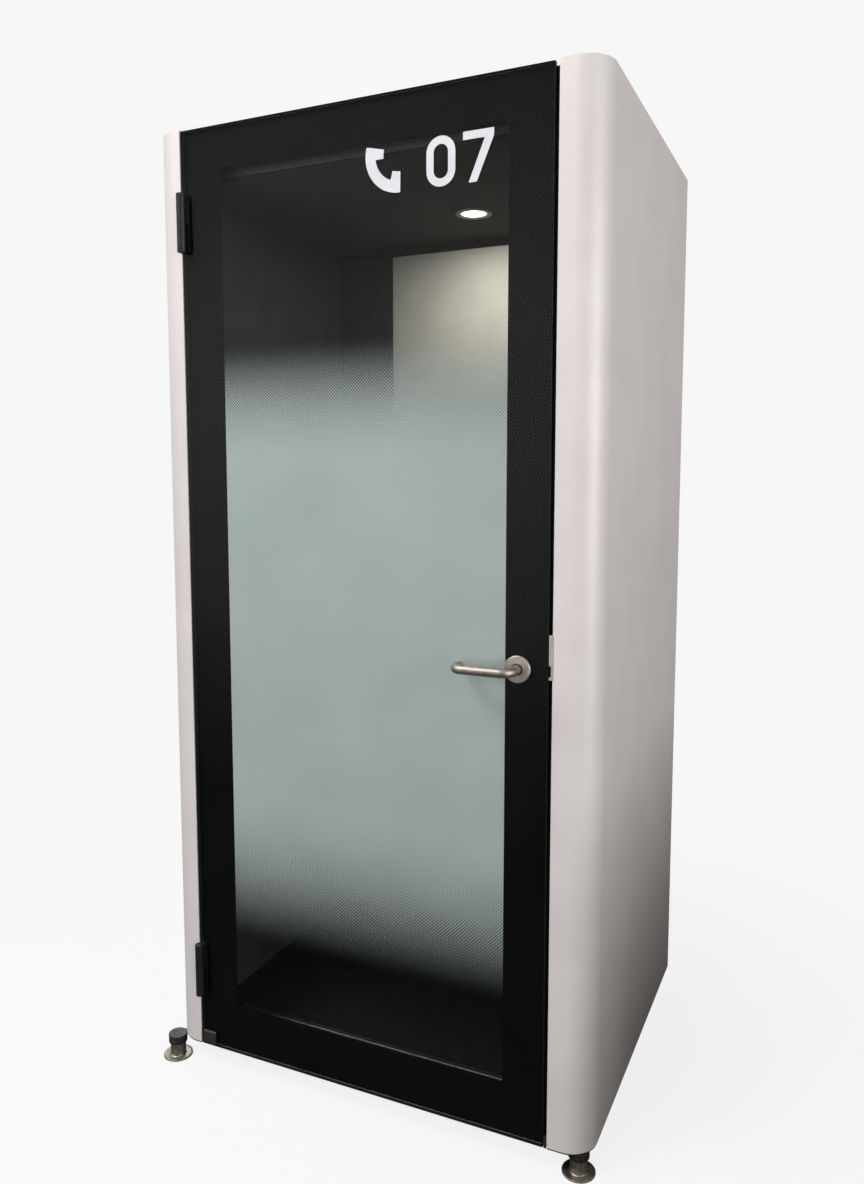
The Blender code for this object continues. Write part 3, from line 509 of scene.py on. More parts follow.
hinge_paint = surface("hinge_powder", (0.007, 0.0066, 0.0066), (0.013, 0.0122, 0.0122), rough=(0.38, 0.50),
                      tone_scale=60.0, grain_scale=1100.0, grain=0.00014, specular=0.42)
# A darker, duller copy of the hinge powder: painted shade for the plate side of the hinges.
hinge_plate_shade_paint = surface("hinge_plate_painted_shade", (0.0035, 0.0035, 0.0038), (0.007, 0.007, 0.0074), rough=(0.42, 0.54),
                            tone_scale=60.0, grain_scale=1100.0, grain=0.00014, specular=0.12)
pin_steel = steel("pin_bright", (0.40, 0.40, 0.41), (0.62, 0.62, 0.62), (0.22, 0.34), (1.0, 1.0, 8.0))
rose_steel = steel("rose_blasted", (0.47, 0.405, 0.350), (0.82, 0.745, 0.670), (0.34, 0.50), (1.0, 1.0, 1.0), 520.0, 90.0)
lever_steel = steel("lever_blasted", (0.30, 0.262, 0.228), (0.52, 0.474, 0.430), (0.40, 0.54), (0.3, 1.0, 1.0),
                    520.0, 90.0)
strike_steel = steel("strike_satin", (0.56, 0.50, 0.44), (0.76, 0.70, 0.63), (0.36, 0.48), (1.0, 1.0, 0.15), 600.0, 55.0, 0.8)
foot_steel = steel("foot_turned", (0.20, 0.178, 0.150), (0.47, 0.430, 0.375), (0.38, 0.54), (2.5, 2.5, 0.12), 150.0, 70.0)
bolt_nickel = steel("bolt_plated", (0.50, 0.48, 0.44), (0.70, 0.67, 0.62), (0.18, 0.28), (0.3, 1.0, 1.0), 900.0)
screw_steel = steel("screw_zinc", (0.40, 0.39, 0.37), (0.62, 0.60, 0.57), (0.28, 0.40), (1.0, 1.0, 1.0), 1500.0)
threshold = steel("threshold_brushed", (0.075, 0.075, 0.074), (0.135, 0.135, 0.133), (0.40, 0.54), (0.04, 1.0, 1.0),
                  700.0, 55.0, 0.85)
spindle_steel = steel("spindle_drawn", (0.38, 0.38, 0.38), (0.55, 0.55, 0.55), (0.3, 0.4), (1.0, 0.1, 1.0))
collar_plastic = surface("collar_plastic", (0.008, 0.0072, 0.0066), (0.022, 0.019, 0.0175), rough=(0.36, 0.50),
                         tone_scale=90.0, grain_scale=1300.0, grain=0.00012, specular=0.45)
rubber = surface("gasket_epdm", (0.012, 0.012, 0.012), (0.022, 0.022, 0.022), rough=(0.7, 0.85),
                 grain_scale=1500.0, grain=0.00012, specular=0.25)
ceiling_felt = felt("ceiling_fleece", (0.016, 0.0152, 0.0145), (0.034, 0.0325, 0.031), 380.0, 0.0005, 0.12)
wall_felt = felt("wall_fleece", (0.017, 0.0168, 0.0165), (0.042, 0.0415, 0.041), 400.0, 0.0006, 0.15)
pad_felt = felt("pad_fleece", (0.545, 0.530, 0.495), (0.690, 0.672, 0.635), 360.0, 0.0004, 0.1)
column_film = surface("column_board", (0.020, 0.020, 0.021), (0.032, 0.032, 0.033), rough=(0.5, 0.65),
                      grain=0.0002, grain_scale=600.0, specular=0.3)
pile = carpet("loop_pile")
board = plywood("birch_ply")
core = foam("core_foam")
worktop_print = laminate("worktop_print")
edge_band = surface("edge_band", (0.39, 0.345, 0.280), (0.47, 0.42, 0.35), rough=(0.35, 0.45), grain=0.00008,
                    stretch=(0.1, 1.0, 1.0))
trim_warm = surface("trim_warm", (0.34, 0.31, 0.27), (0.42, 0.385, 0.34), rough=(0.36, 0.48), grain=0.00005)
LIGHT_LO, LIGHT_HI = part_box("light_lens")
lens = lamp_lens("lamp_opal", (LIGHT_LO + LIGHT_HI) / 2)
vent_plastic = surface("vent_plastic", (0.012, 0.012, 0.012), (0.022, 0.022, 0.022), rough=(0.4, 0.55),
                       grain_scale=1000.0, grain=0.0002)
fan_plastic = surface("fan_plastic", (0.018, 0.018, 0.019), (0.032, 0.032, 0.033), rough=(0.32, 0.45),
                      grain_scale=1200.0, grain=0.0001)
module_plastic = surface("module_plastic", (0.085, 0.085, 0.090), (0.115, 0.115, 0.120), rough=(0.35, 0.48),
                         grain_scale=1100.0, grain=0.00012)
rocker_plastic = surface("rocker_plastic", (0.015, 0.015, 0.015), (0.026, 0.026, 0.026), rough=(0.22, 0.32),
                         grain_scale=1400.0, grain=0.00006)
inlet_plastic = surface("inlet_plastic", (0.014, 0.014, 0.014), (0.026, 0.026, 0.026), rough=(0.4, 0.52),
                        grain_scale=1000.0, grain=0.00015)
lock_paint = powder_black("lock_powder", 0.018, (0.32, 0.44))


# -------------------------------------------------------- mesh utilities
def fillet(points, radius, steps=4, closed=True):
    """The polyline with its corners rounded; radius may be one per point."""
    points = [Vector(p).to_2d() for p in points]
    count = len(points)
    radii = radius if isinstance(radius, (list, tuple)) else [radius] * count
    made = []
    for i, p in enumerate(points):
        if (not closed and i in (0, count - 1)) or radii[i] <= 0:
            made.append(tuple(p))
            continue
        before, after = points[i - 1] - p, points[(i + 1) % count] - p
        short = min(before.length, after.length)
        before, after = before.normalized(), after.normalized()
        angle = before.angle(after)
        if short < 1e-7 or angle > math.radians(176) or angle < math.radians(2):
            made.append(tuple(p))
            continue
        cut = min(radii[i] / math.tan(angle / 2), 0.46 * short)
        r = cut * math.tan(angle / 2)
        centre = p + (before + after).normalized() * (r / math.sin(angle / 2))
        start, end = p + before * cut - centre, p + after * cut - centre
        turn = math.pi - angle
        sense = 1.0 if start.x * end.y - start.y * end.x > 0 else -1.0
        for k in range(steps + 1):
            a = sense * turn * k / steps
            made.append(
                (
                    centre.x + start.x * math.cos(a) - start.y * math.sin(a),
                    centre.y + start.x * math.sin(a) + start.y * math.cos(a),
                )
            )
    return made


def arc(cx, cy, radius, start, end, steps):
    return [
        (
            cx + radius * math.cos(math.radians(start + (end - start) * i / steps)),
            cy + radius * math.sin(math.radians(start + (end - start) * i / steps)),
        )
        for i in range(steps + 1)
    ]


def spun(bm, profile, centre, axis="Z", steps=64, sense=1.0):
    """A (radius, height) profile turned about an axis, closed at both ends."""

    def point(r, h, a):
        u, v = r * math.cos(a), r * math.sin(a)
        if axis == "Z":
            return centre + Vector((u, v, h * sense))
        if axis == "Y":
            return centre + Vector((u, h * sense, v))
        return centre + Vector((h * sense, u, v))

    rings = []
    for r, h in profile:
        if r < 1e-7:
            rings.append([bm.verts.new(point(0, h, 0))] * steps)
        else:
            rings.append([bm.verts.new(point(r, h, 2 * math.pi * i / steps)) for i in range(steps)])
    pairs = list(zip(rings, rings[1:]))
    if profile[0][0] > 1e-7 and profile[-1][0] > 1e-7:
        pairs.append((rings[-1], rings[0]))
    faces = []
    for one, two in pairs:
        for i in range(steps):
            j = (i + 1) % steps
            corners = []
            for v in (one[i], one[j], two[j], two[i]):
                if v not in corners:
                    corners.append(v)
            if len(corners) > 2:
                faces.append(bm.faces.new(corners))
    return faces


def extruded(bm, outline, low, high, axis="Z"):
    """An outline across the axis, taken from low to high, in row-frame metres."""

    def point(a, b, h):
        return {"Z": Vector((a, b, h)), "Y": Vector((a, h, b)), "X": Vector((h, a, b))}[axis]

    face = bm.faces.new([bm.verts.new(point(a, b, low)) for a, b in outline])
    grown = bmesh.ops.extrude_face_region(bm, geom=[face])
    bmesh.ops.translate(
        bm,
        vec=point(0, 0, high) - point(0, 0, low),
        verts=[g for g in grown["geom"] if isinstance(g, bmesh.types.BMVert)],
    )


def boxed(bm, lo, hi):
    made = bmesh.ops.create_cube(bm, size=1.0)["verts"]
    bmesh.ops.scale(bm, vec=Vector(hi) - Vector(lo), verts=made)
    bmesh.ops.translate(bm, vec=(Vector(lo) + Vector(hi)) / 2, verts=made)
    return made


def raw(name, bm, *looks, smooth=30.0):
    bmesh.ops.recalc_face_normals(bm, faces=bm.faces)
    mesh = bpy.data.meshes.new(name)
    bm.to_mesh(mesh)
    bm.free()
    for look in looks:
        mesh.materials.append(look)
    mesh.shade_smooth()
    mesh.set_sharp_from_angle(angle=math.radians(smooth))
    obj = bpy.data.objects.new(name, mesh)
    scene.collection.objects.link(obj)
    return obj


def soften(obj, width, segments=2, angle=30.0):
    edge = obj.modifiers.new("soft_edges", "BEVEL")
    edge.width = width
    edge.segments = segments
    edge.limit_method = "ANGLE"
    edge.angle_limit = math.radians(angle)
    edge.use_clamp_overlap = True
    edge.harden_normals = True
    return obj


def boolean(obj, other, operation):
    step = obj.modifiers.new("join", "BOOLEAN")
    step.operation = operation
    step.solver = "EXACT"
    step.object = other
    return other


def settle(obj, helpers=(), smooth=30.0):
    """Applies the modifiers and removes the helpers."""
    bpy.context.view_layer.update()
    dg = bpy.context.evaluated_depsgraph_get()
    mesh = bpy.data.meshes.new_from_object(obj.evaluated_get(dg))
    mesh.name = obj.name
    obj.modifiers.clear()
    obj.data = mesh
    bm = bmesh.new()
    bm.from_mesh(mesh)
    bmesh.ops.remove_doubles(bm, verts=bm.verts, dist=1e-6)
    bmesh.ops.recalc_face_normals(bm, faces=bm.faces)
    bm.to_mesh(mesh)
    bm.free()
    mesh.shade_smooth()
    mesh.set_sharp_from_angle(angle=math.radians(smooth))
    for helper in helpers:
        bpy.data.objects.remove(helper, do_unlink=True)
    return obj


def piece(obj, body, slot, *stands_for):
    even = obj.modifiers.new("even_shading", "WEIGHTED_NORMAL")
    even.keep_sharp = True
    even.weight = 80
    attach(obj, body)
    if stands_for:
        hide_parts(*stands_for)
    return obj


def dress(node, look, edge=0.0, segments=2, angle=35.0):
    """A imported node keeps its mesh, with a better material and soft edges."""
    obj = nodes[node]
    obj.material_slots[0].material = look
    if edge:
        weld = obj.modifiers.new("weld", "WELD")
        weld.merge_threshold = 2e-6
        bevel = obj.modifiers.new("soft_edges", "BEVEL")
        bevel.width = edge
        bevel.segments = segments
        bevel.limit_method = "ANGLE"
        bevel.angle_limit = math.radians(angle)
        bevel.use_clamp_overlap = True
    return obj


# ------------------------------------------------------------ side shells
def shell(name, node, out, look):
    lo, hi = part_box(node)
    edge = hi.x if out < 0 else lo.x
    width = hi.x - lo.x
    front, rear = lo.y, hi.y
    corner, fold, lip, rear_lip = 0.060, 0.0025, 0.020, 0.018

    def p(d, y):
        return (edge + out * d, front + y)

    def bend(d, y, radius, start, end, steps):
        return [p(a, b) for a, b in arc(d, y, radius, start, end, steps)]

    depth = rear - front
    flat = width - corner
    outline = (
        [p(0, lip)]
        + bend(fold, fold, fold, 180, 270, 6)
        + bend(flat, corner, corner, 270, 360, 48)
        + bend(width - fold, depth - fold, fold, 0, 90, 6)
        + [p(width - rear_lip, depth), p(width - rear_lip, depth - SHEET)]
        + bend(width - fold, depth - fold, fold - SHEET, 90, 0, 3)
        + bend(flat, corner, corner - SHEET, 360, 270, 48)
        + bend(fold, fold, fold - SHEET, 270, 180, 3)
        + [p(SHEET, lip)]
    )
    bm = bmesh.new()
    extruded(bm, outline, lo.z, hi.z)
    obj = raw(name, bm, look, smooth=25)
    soften(obj, 0.00045, 2, 40)
    return piece(obj, "root", "silver_paint", node)


shell("silver_side_left", "left_shell", -1, silver_left)
shell("silver_side_right", "right_shell", 1, silver_right)


# --------------------------------------------------------------- glass door
def door_pane():
    bm = bmesh.new()
    boxed(bm, GLASS_LO, GLASS_HI)
    obj = raw("glass_pane", bm, clear_pane, pane_edge)
    edge = obj.modifiers.new("arris", "BEVEL")
    edge.width = 0.0011
    edge.segments = 3
    edge.limit_method = "ANGLE"
    drill = bmesh.new()
    mid = (GLASS_LO.y + GLASS_HI.y) / 2
    spun(drill, [(0, -0.02), (0.010, -0.02), (0.010, 0.02), (0, 0.02)],
         Vector((at(0.806, 0, 0).x, mid, 1.049)), "Y", 48)
    helper = boolean(obj, raw("drill", drill), "DIFFERENCE")
    settle(obj, [helper], 20)
    for face in obj.data.polygons:
        face.material_index = 0 if abs(face.normal.y) > 0.97 else 1
    return piece(obj, "door", "toughened_glass", "door_glass")


door_pane()
dress("glass_border", enamel)
dress("privacy_film", film)


# White vinyl on the outside of the glass: a handset and a number.
def vinyl_mark():
    bottom, top = 1.995, 2.091
    tall = top - bottom
    front = GLASS_LO.y - 0.0002
    thick = 0.00012
    bm = bmesh.new()

    def flat(outline):
        extruded(bm, outline, front - thick, front, "Y")

    # Handset: a thick arc with two ear pieces, turned to stand on one end.
    shape = arc(0, 0, 1.0, 36, 144, 36) + arc(0, 0, 0.46, 147, 118, 5) + arc(0, 0, 0.70, 121, 59, 24)
    shape += arc(0, 0, 0.46, 62, 33, 5)
    ends = {0: 0.07, 36: 0.07, 37: 0.10, 42: 0.07, 43: 0.03, 67: 0.03, 68: 0.07, 73: 0.10}
    rounded = fillet(shape, [ends.get(i, 0.0) for i in range(len(shape))], 5)
    turn = math.radians(128)
    spots = [
        (x * math.cos(turn) - z * math.sin(turn), x * math.sin(turn) + z * math.cos(turn)) for x, z in rounded
    ]
    left = min(x for x, z in spots)
    low = min(z for x, z in spots)
    scale = tall / (max(z for x, z in spots) - low)
    start = at(0.470, 0, 0).x
    flat([(start + (x - left) * scale, bottom + (z - low) * scale) for x, z in spots])

    # Digits: a rounded ring and an angled stroke.
    wide, stroke = 0.062, 0.0155
    x0 = at(0.606, 0, 0).x

    def ring(inset):
        r = wide / 2 - inset
        lo, hi = bottom + inset, top - inset
        cx = x0 + wide / 2
        return arc(cx, hi - r, r, 0, 180, 20) + arc(cx, lo + r, r, 180, 360, 20)

    outer, inner = ring(0.0), ring(stroke)
    for y in (front - thick, front):
        a = [bm.verts.new((x, y, z)) for x, z in outer]
        b = [bm.verts.new((x, y, z)) for x, z in inner]
        for i in range(len(a)):
            j = (i + 1) % len(a)
            bm.faces.new((a[i], a[j], b[j], b[i]))
        if y == front - thick:
            first = (a, b)
        else:
            for one, two in zip(first, (a, b)):
                for i in range(len(one)):
                    j = (i + 1) % len(one)
                    bm.faces.new((one[i], one[j], two[j], two[i]))
    x1 = at(0.684, 0, 0).x
    flat(
        [
            (x1, top),
            (x1, top - stroke),
            (x1 + 0.0455, top - stroke),
            (x1 + 0.0120, bottom),
            (x1 + 0.0290, bottom),
            (x1 + 0.0640, top - stroke * 0.95),
            (x1 + 0.0640, top),
        ]
    )
    obj = raw("vinyl_mark", bm, vinyl, smooth=30)
    return piece(obj, "door", "light_trim")


vinyl_mark()


def corner_shoe():
    """Small guard on the lower hinge-side corner of the pane."""
    lo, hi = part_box("corner_patch")
    bm = bmesh.new()
    outline = fillet(
        [(lo.y, lo.z), (hi.y, lo.z), (hi.y, hi.z), (lo.y + 0.0018, hi.z), (lo.y, hi.z - 0.0030)],
        [0.0006, 0.0, 0.0, 0.0006, 0.0012], 3)
    extruded(bm, outline, lo.x, hi.x, "X")
    obj = raw("corner_shoe", bm, patch_paint)
    soften(obj, 0.0005, 2, 40)
    return piece(obj, "door", "patch_black", "corner_patch")


corner_shoe()


def gap_seal():
    """Rubber foot of the closing gap, between the pane and the right shell."""
    bm = bmesh.new()
    boxed(bm, at(0.8692, 0.0012, 0.0520), at(0.8752, 0.0105, 0.0780))
    return piece(soften(raw("gap_seal", bm, rubber), 0.0006, 2), "root", "gasket_rubber")


gap_seal()


# ------------------------------------------------------------------ hinges
def hinge(which):
    for part, body in (("frame", "root"), ("door", "door")):
        node = f"{which}_hinge_{part}_leaf"
        lo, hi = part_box(node)
        plate_lo, plate_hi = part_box(f"{which}_hinge_door_leaf")
        frame_lo, frame_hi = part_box(f"{which}_hinge_frame_leaf")
        axis = at(0.0086, -0.0115, 0.0)
        r, bore = 0.010, 0.0043
        if part == "frame":
            z0, z1 = frame_lo.z, frame_hi.z
            profile = fillet([(bore, z0), (r, z0), (r, z1), (bore, z1)], [0.0003, 0.0016, 0.0005, 0.0003], 5)
        else:
            z0, z1 = frame_hi.z + GAP, plate_hi.z
            profile = fillet([(bore, z0), (r, z0), (r, z1), (bore, z1)], [0.0003, 0.0005, 0.0016, 0.0003], 5)
        bm = bmesh.new()
        spun(bm, profile, axis, "Z", 56)
        obj = raw(f"{which}_hinge_{part}_half", bm, hinge_paint)
        other = bmesh.new()
        if part == "frame":
            boxed(other, at(0.0005, -0.0100, z0 + 0.0005), at(0.0025, 0.0136, z1 - 0.0010))
            helpers = [boolean(obj, raw("web", other), "UNION")]
        else:
            outline = [
                tuple((at(x, y, 0).x, at(x, y, 0).y))
                for x, y in fillet(
                    [(0.0060, -0.0030), (0.0170, -0.0070), (0.0240, -0.0035), (0.0240, -GAP), (0.0060, -GAP)],
                    [0.0, 0.003, 0.001, 0.0003, 0.0], 4)
            ]
            extruded(other, outline, z0 + 0.0006, z1 - 0.0002)
            plate = bmesh.new()
            boxed(plate, at(0.0152, -0.0034, plate_lo.z), at(0.0239, -GAP - 0.0001, z1 - 0.0005))
            plate_obj = soften(raw("plate", plate), 0.0006, 2, 40)
            helpers = [boolean(obj, raw("bridge", other), "UNION"), boolean(obj, plate_obj, "UNION")]
        settle(obj, helpers, 35)
        # The plate side of each hinge takes the darker copy of the powder: painted shade.
        obj.data.materials.append(hinge_plate_shade_paint)
        shaded_from = at(0.0192, 0, 0).x
        for face in obj.data.polygons:
            if face.center.x > shaded_from:
                face.material_index = len(obj.data.materials) - 1
        piece(obj, body, "hinge_black", node)


hinge("upper")
hinge("lower")


# ------------------------------------------------------------------ handle
HANDLE = at(0.806, 0.0, 1.049)


def rose_cover(name, node, face_sense, bush_name):
    """Stainless rose with a rounded rim over a thin shadow gap, and a neck bush."""
    lo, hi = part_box(node)
    base = hi.y if face_sense < 0 else lo.y
    thick = hi.y - lo.y
    r = (hi.x - lo.x) / 2
    profile = fillet(
        [
            (0.0100, 0.0),
            (0.0100, thick),
            (r, thick),
            (r, 0.0009),
            (r - 0.0009, 0.0009),
            (r - 0.0009, 0.0),
        ],
        [0.0, 0.0005, 0.0017, 0.0002, 0.0, 0.0], 7)
    bm = bmesh.new()
    spun(bm, profile, Vector((HANDLE.x, base, HANDLE.z)), "Y", 96, face_sense)
    obj = raw(name, bm, rose_steel, smooth=35)
    piece(obj, "door", "blasted_steel", node)
    ring = fillet([(0.0098, thick - 0.002), (0.0117, thick - 0.002), (0.0117, thick + 0.0007),
                   (0.0098, thick + 0.0007)], 0.0003, 3)
    bm = bmesh.new()
    spun(bm, ring, Vector((HANDLE.x, base, HANDLE.z)), "Y", 64, face_sense)
    obj = raw(bush_name, bm, collar_plastic, smooth=35)
    return piece(obj, "door", "lock_black")


rose_cover("outer_rose_cover", "outer_rose", -1, "outer_neck_bush")
rose_cover("inner_rose_cover", "inner_rose", 1, "inner_neck_bush")


def lever_bar(name, node, rose_node, out):
    """Round return-to-door lever, drawn as one smooth bar."""
    lo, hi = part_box(node)
    rose_lo, rose_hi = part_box(rose_node)
    face = rose_lo.y if out < 0 else rose_hi.y
    reach = (face - lo.y if out < 0 else hi.y - face) - 0.0095
    length = HANDLE.x - lo.x - 0.0095
    radius, bend, back = 0.0095, 0.020, 0.040
    path = []

    def p(dx, dy, scale=1.0):
        path.append((HANDLE.x - dx, face + out * dy, scale))

    for k in range(4):
        a = math.radians(90 * k / 4)
        p(0, -0.0053 + 0.0006 * (1 - math.cos(a)), 0.93 + 0.07 * math.sin(a))
    for k in range(1, 9):
        p(0, -0.0047 + (reach - bend + 0.0047) * k / 8)
    for i in range(1, 25):
        a = math.radians(90 * i / 24)
        p(bend * (1 - math.cos(a)), reach - bend + bend * math.sin(a))
    for k in range(1, 12):
        p(bend + (length - 2 * bend) * k / 12, reach)
    for i in range(0, 25):
        a = math.radians(90 * i / 24)
        p(length - bend + bend * math.sin(a), reach - bend + bend * math.cos(a))
    end = reach - back
    round_end = 0.0022
    for k in range(1, 5):
        p(length, reach - bend - (back - bend - round_end) * k / 4)
    for k in range(1, 8):
        a = math.radians(90 * k / 7)
        p(length, end + round_end * (1 - math.sin(a)), 1 - (round_end / radius) * (1 - math.cos(a)))
    bm = bmesh.new()
    sides = 48
    rings = []
    for i, (x, y, scale) in enumerate(path):
        a = Vector(path[max(i - 1, 0)][:2])
        b = Vector(path[min(i + 1, len(path) - 1)][:2])
        if i == 0:
            b = Vector(path[5][:2])
        if i >= len(path) - 8:
            a, b = Vector((0, 0)), Vector((0, -out))
        along = (b - a).normalized()
        across = Vector((-along.y, along.x, 0))
        rings.append(
            [
                bm.verts.new(
                    Vector((x, y, HANDLE.z))
                    + (across * math.cos(2 * math.pi * k / sides) + Vector((0, 0, math.sin(2 * math.pi * k / sides))))
                    * radius * scale
                )
                for k in range(sides)
            ]
        )
    for one, two in zip(rings, rings[1:]):
        for k in range(sides):
            j = (k + 1) % sides
            bm.faces.new((one[k], one[j], two[j], two[k]))
    for ring in (rings[0], rings[-1]):
        bm.faces.new(ring)
    obj = raw(name, bm, lever_steel, smooth=40)
    # Socket for the square spindle and a grub-screw hole under the neck.
    sp_lo, sp_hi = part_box("spindle")
    cutter = bmesh.new()
    near, far = face - out * 0.010, face + out * 0.0145
    boxed(cutter, (HANDLE.x - 0.0043, min(near, far), HANDLE.z - 0.0043),
          (HANDLE.x + 0.0043, max(near, far), HANDLE.z + 0.0043))
    hole = bmesh.new()
    spun(hole, [(0, 0.0035), (0.0021, 0.0035), (0.0021, 0.02), (0, 0.02)],
         Vector((HANDLE.x, face + out * 0.0085, HANDLE.z)), "Z", 24, -1.0)
    helpers = [boolean(obj, raw("socket", cutter), "DIFFERENCE"), boolean(obj, raw("grub", hole), "DIFFERENCE")]
    settle(obj, helpers, 40)
    return piece(obj, "lever", "blasted_steel", node)


lever_bar("outer_lever_bar", "outer_lever", "outer_rose", -1)
lever_bar("inner_lever_bar", "inner_lever", "inner_rose", 1)
dress("spindle", spindle_steel)
dress("lock_case", lock_paint, 0.0004)
dress("latch_bolt", bolt_nickel, 0.0005)
dress("strike_plate", strike_steel, 0.00035)


# -------------------------------------------------------------------- feet
def foot(corner):
    node = corner + "_foot"
    lo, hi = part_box(node)
    centre = Vector(((lo.x + hi.x) / 2, (lo.y + hi.y) / 2, 0.0))
    stem_top, top = 0.034, hi.z
    flange, stem, stud = 0.035, 0.0185, 0.006
    profile = fillet(
        [
            (0, top),
            (stud, top),
            (stud, stem_top),
            (stem, stem_top),
            (stem, 0.0046),
            (stem + 0.0018, 0.0031),
            (flange - 0.0050, 0.0024),
            (flange - 0.0020, 0.0036),
            (flange, 0.0030),
            (flange, 0.0),
            (0, 0.0),
        ],
        [0, 0.0004, 0, 0.0010, 0.0012, 0.0010, 0.0015, 0.0012, 0.0012, 0.0004, 0], 5, closed=False)
    bm = bmesh.new()
    spun(bm, profile, centre, "Z", 96)
    obj = raw(corner + "_levelling_foot", bm, foot_steel, smooth=35)
    piece(obj, corner + "_foot", "foot_steel", node)
    # Collar with one shallow groove.
    c_lo, c_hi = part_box(corner + "_foot_collar")
    z0, z1 = c_lo.z, c_hi.z
    r = (c_hi.x - c_lo.x) / 2
    bore = stud + 0.0004
    profile = fillet(
        [
            (bore, z1),
            (r, z1),
            (r, z0 + 0.0105),
            (r - 0.0006, z0 + 0.0100),
            (r - 0.0006, z0 + 0.0092),
            (r, z0 + 0.0087),
            (r, z0),
            (bore, z0),
        ],
        [0.0, 0.0018, 0.0002, 0.0002, 0.0002, 0.0002, 0.0015, 0.0], 5)
    bm = bmesh.new()
    spun(bm, profile, centre, "Z", 80)
    obj = raw(corner + "_locking_collar", bm, collar_plastic, smooth=35)
    piece(obj, "root", "collar_black", corner + "_foot_collar")


for corner in ("front_left", "front_right", "rear_left", "rear_right"):
    foot(corner)


def ear_cap():
    """Rounded cap over the tray's ear at the front-left foot."""
    lo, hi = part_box("front_left_foot_collar")
    tray_lo, tray_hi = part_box("base_tray")
    centre = Vector(((lo.x + hi.x) / 2, (lo.y + hi.y) / 2, 0.0))
    r = (hi.x - lo.x) / 2 + 0.0002
    z0, z1 = tray_lo.z + 0.0001, tray_hi.z + 0.0001
    profile = fillet(
        [(0, z1), (0.0085, z1), (0.0095, z1 - 0.0007), (0.0110, z1), (r, z1), (r, z0), (0, z0)],
        [0, 0.0003, 0.0003, 0.0003, 0.0013, 0.0004, 0], 5, closed=False)
    bm = bmesh.new()
    spun(bm, profile, centre, "Z", 80)
    obj = raw("front_left_ear_cap", bm, collar_plastic, smooth=35)
    return piece(obj, "root", "collar_black")


ear_cap()


# ------------------------------------------------------------ ceiling light
def downlight():
    lo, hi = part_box("light_housing")
    centre = Vector(((lo.x + hi.x) / 2, (lo.y + hi.y) / 2, 0.0))
    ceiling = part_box("ceiling_panel")[0].z
    r = (hi.x - lo.x) / 2
    profile = fillet(
        [
            (0, ceiling + 0.0400),
            (0.0385, ceiling + 0.0400),
            (0.0385, ceiling - GAP),
            (r, ceiling - GAP),
            (r, ceiling - 0.0026),
            (r - 0.0018, ceiling - 0.0035),
            (0.0352, ceiling - 0.0035),
            (0.0338, ceiling - 0.0022),
            (0.0338, ceiling + 0.0050),
            (0, ceiling + 0.0050),
        ],
        [0, 0.001, 0, 0.0003, 0.001, 0.001, 0.0006, 0.0006, 0.0, 0], 4, closed=False)
    bm = bmesh.new()
    spun(bm, profile, centre, "Z", 72)
    piece(raw("downlight_trim", bm, trim_warm, smooth=35), "root", "light_trim", "light_housing")
    profile = [(0, ceiling + 0.0047), (0.0335, ceiling + 0.0047), (0.0335, ceiling - 0.0008)]
    for k in range(1, 13):
        a = k / 12
        profile.append((0.0335 * (1 - a), ceiling - 0.0008 - 0.0025 * (1 - (1 - a) ** 2)))
    bm = bmesh.new()
    spun(bm, profile, centre, "Z", 64)
    piece(raw("downlight_lens", bm, lens, smooth=50), "root", "light_diffuser", "light_lens")
    return Vector((centre.x, centre.y, ceiling))


lamp_spot = downlight()


# ----------------------------------------------------------- cabin fittings
def felt_pad():
    """Rear panel of pressed felt with rounded edges and a soft, uneven face."""
    lo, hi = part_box("rear_acoustic_pad")
    bm = bmesh.new()
    inset = 0.0035
    nx, nz = 44, 110
    r = 0.004

    def soft(u, span):
        """Edge rounding: how far the face falls back near a border."""
        d = min(u, span - u)
        if d >= r:
            return 0.0
        return r - math.sqrt(max(r * r - (r - d) ** 2, 0.0))

    def stations(span, count):
        marks = [0.0, r * 0.05, r * 0.2, r * 0.5, r]
        inner = [r + (span - 2 * r) * k / count for k in range(1, count)]
        return marks + inner + [span - m for m in reversed(marks)]

    xs, zs = stations(hi.x - lo.x, nx), stations(hi.z - lo.z, nz)
    grid = []
    for z in zs:
        row = []
        for x in xs:
            fall = max(soft(x, hi.x - lo.x), soft(z, hi.z - lo.z))
            wave = noise.noise(Vector((x * 9, 0.3, z * 9))) * 0.00035 + noise.noise(Vector((x * 31, 2.0, z * 31))) * 0.00012
            row.append(bm.verts.new((lo.x + x, lo.y + 0.0006 + fall + (wave if fall == 0 else 0), lo.z + z)))
        grid.append(row)
    for i in range(len(zs) - 1):
        for j in range(len(xs) - 1):
            bm.faces.new((grid[i][j], grid[i][j + 1], grid[i + 1][j + 1], grid[i + 1][j]))
    border = (
        grid[0]
        + [row[-1] for row in grid[1:]]
        + list(reversed(grid[-1][:-1]))
        + [row[0] for row in reversed(grid[1:-1])]
    )
    rear = [bm.verts.new((v.co.x, hi.y, v.co.z)) for v in border]
    for i in range(len(border)):
        j = (i + 1) % len(border)
        bm.faces.new((border[i], border[j], rear[j], rear[i]))
    bm.faces.new(rear)
    obj = raw("felt_pad", bm, pad_felt, smooth=50)
    return piece(obj, "root", "cream_felt", "rear_acoustic_pad")


felt_pad()


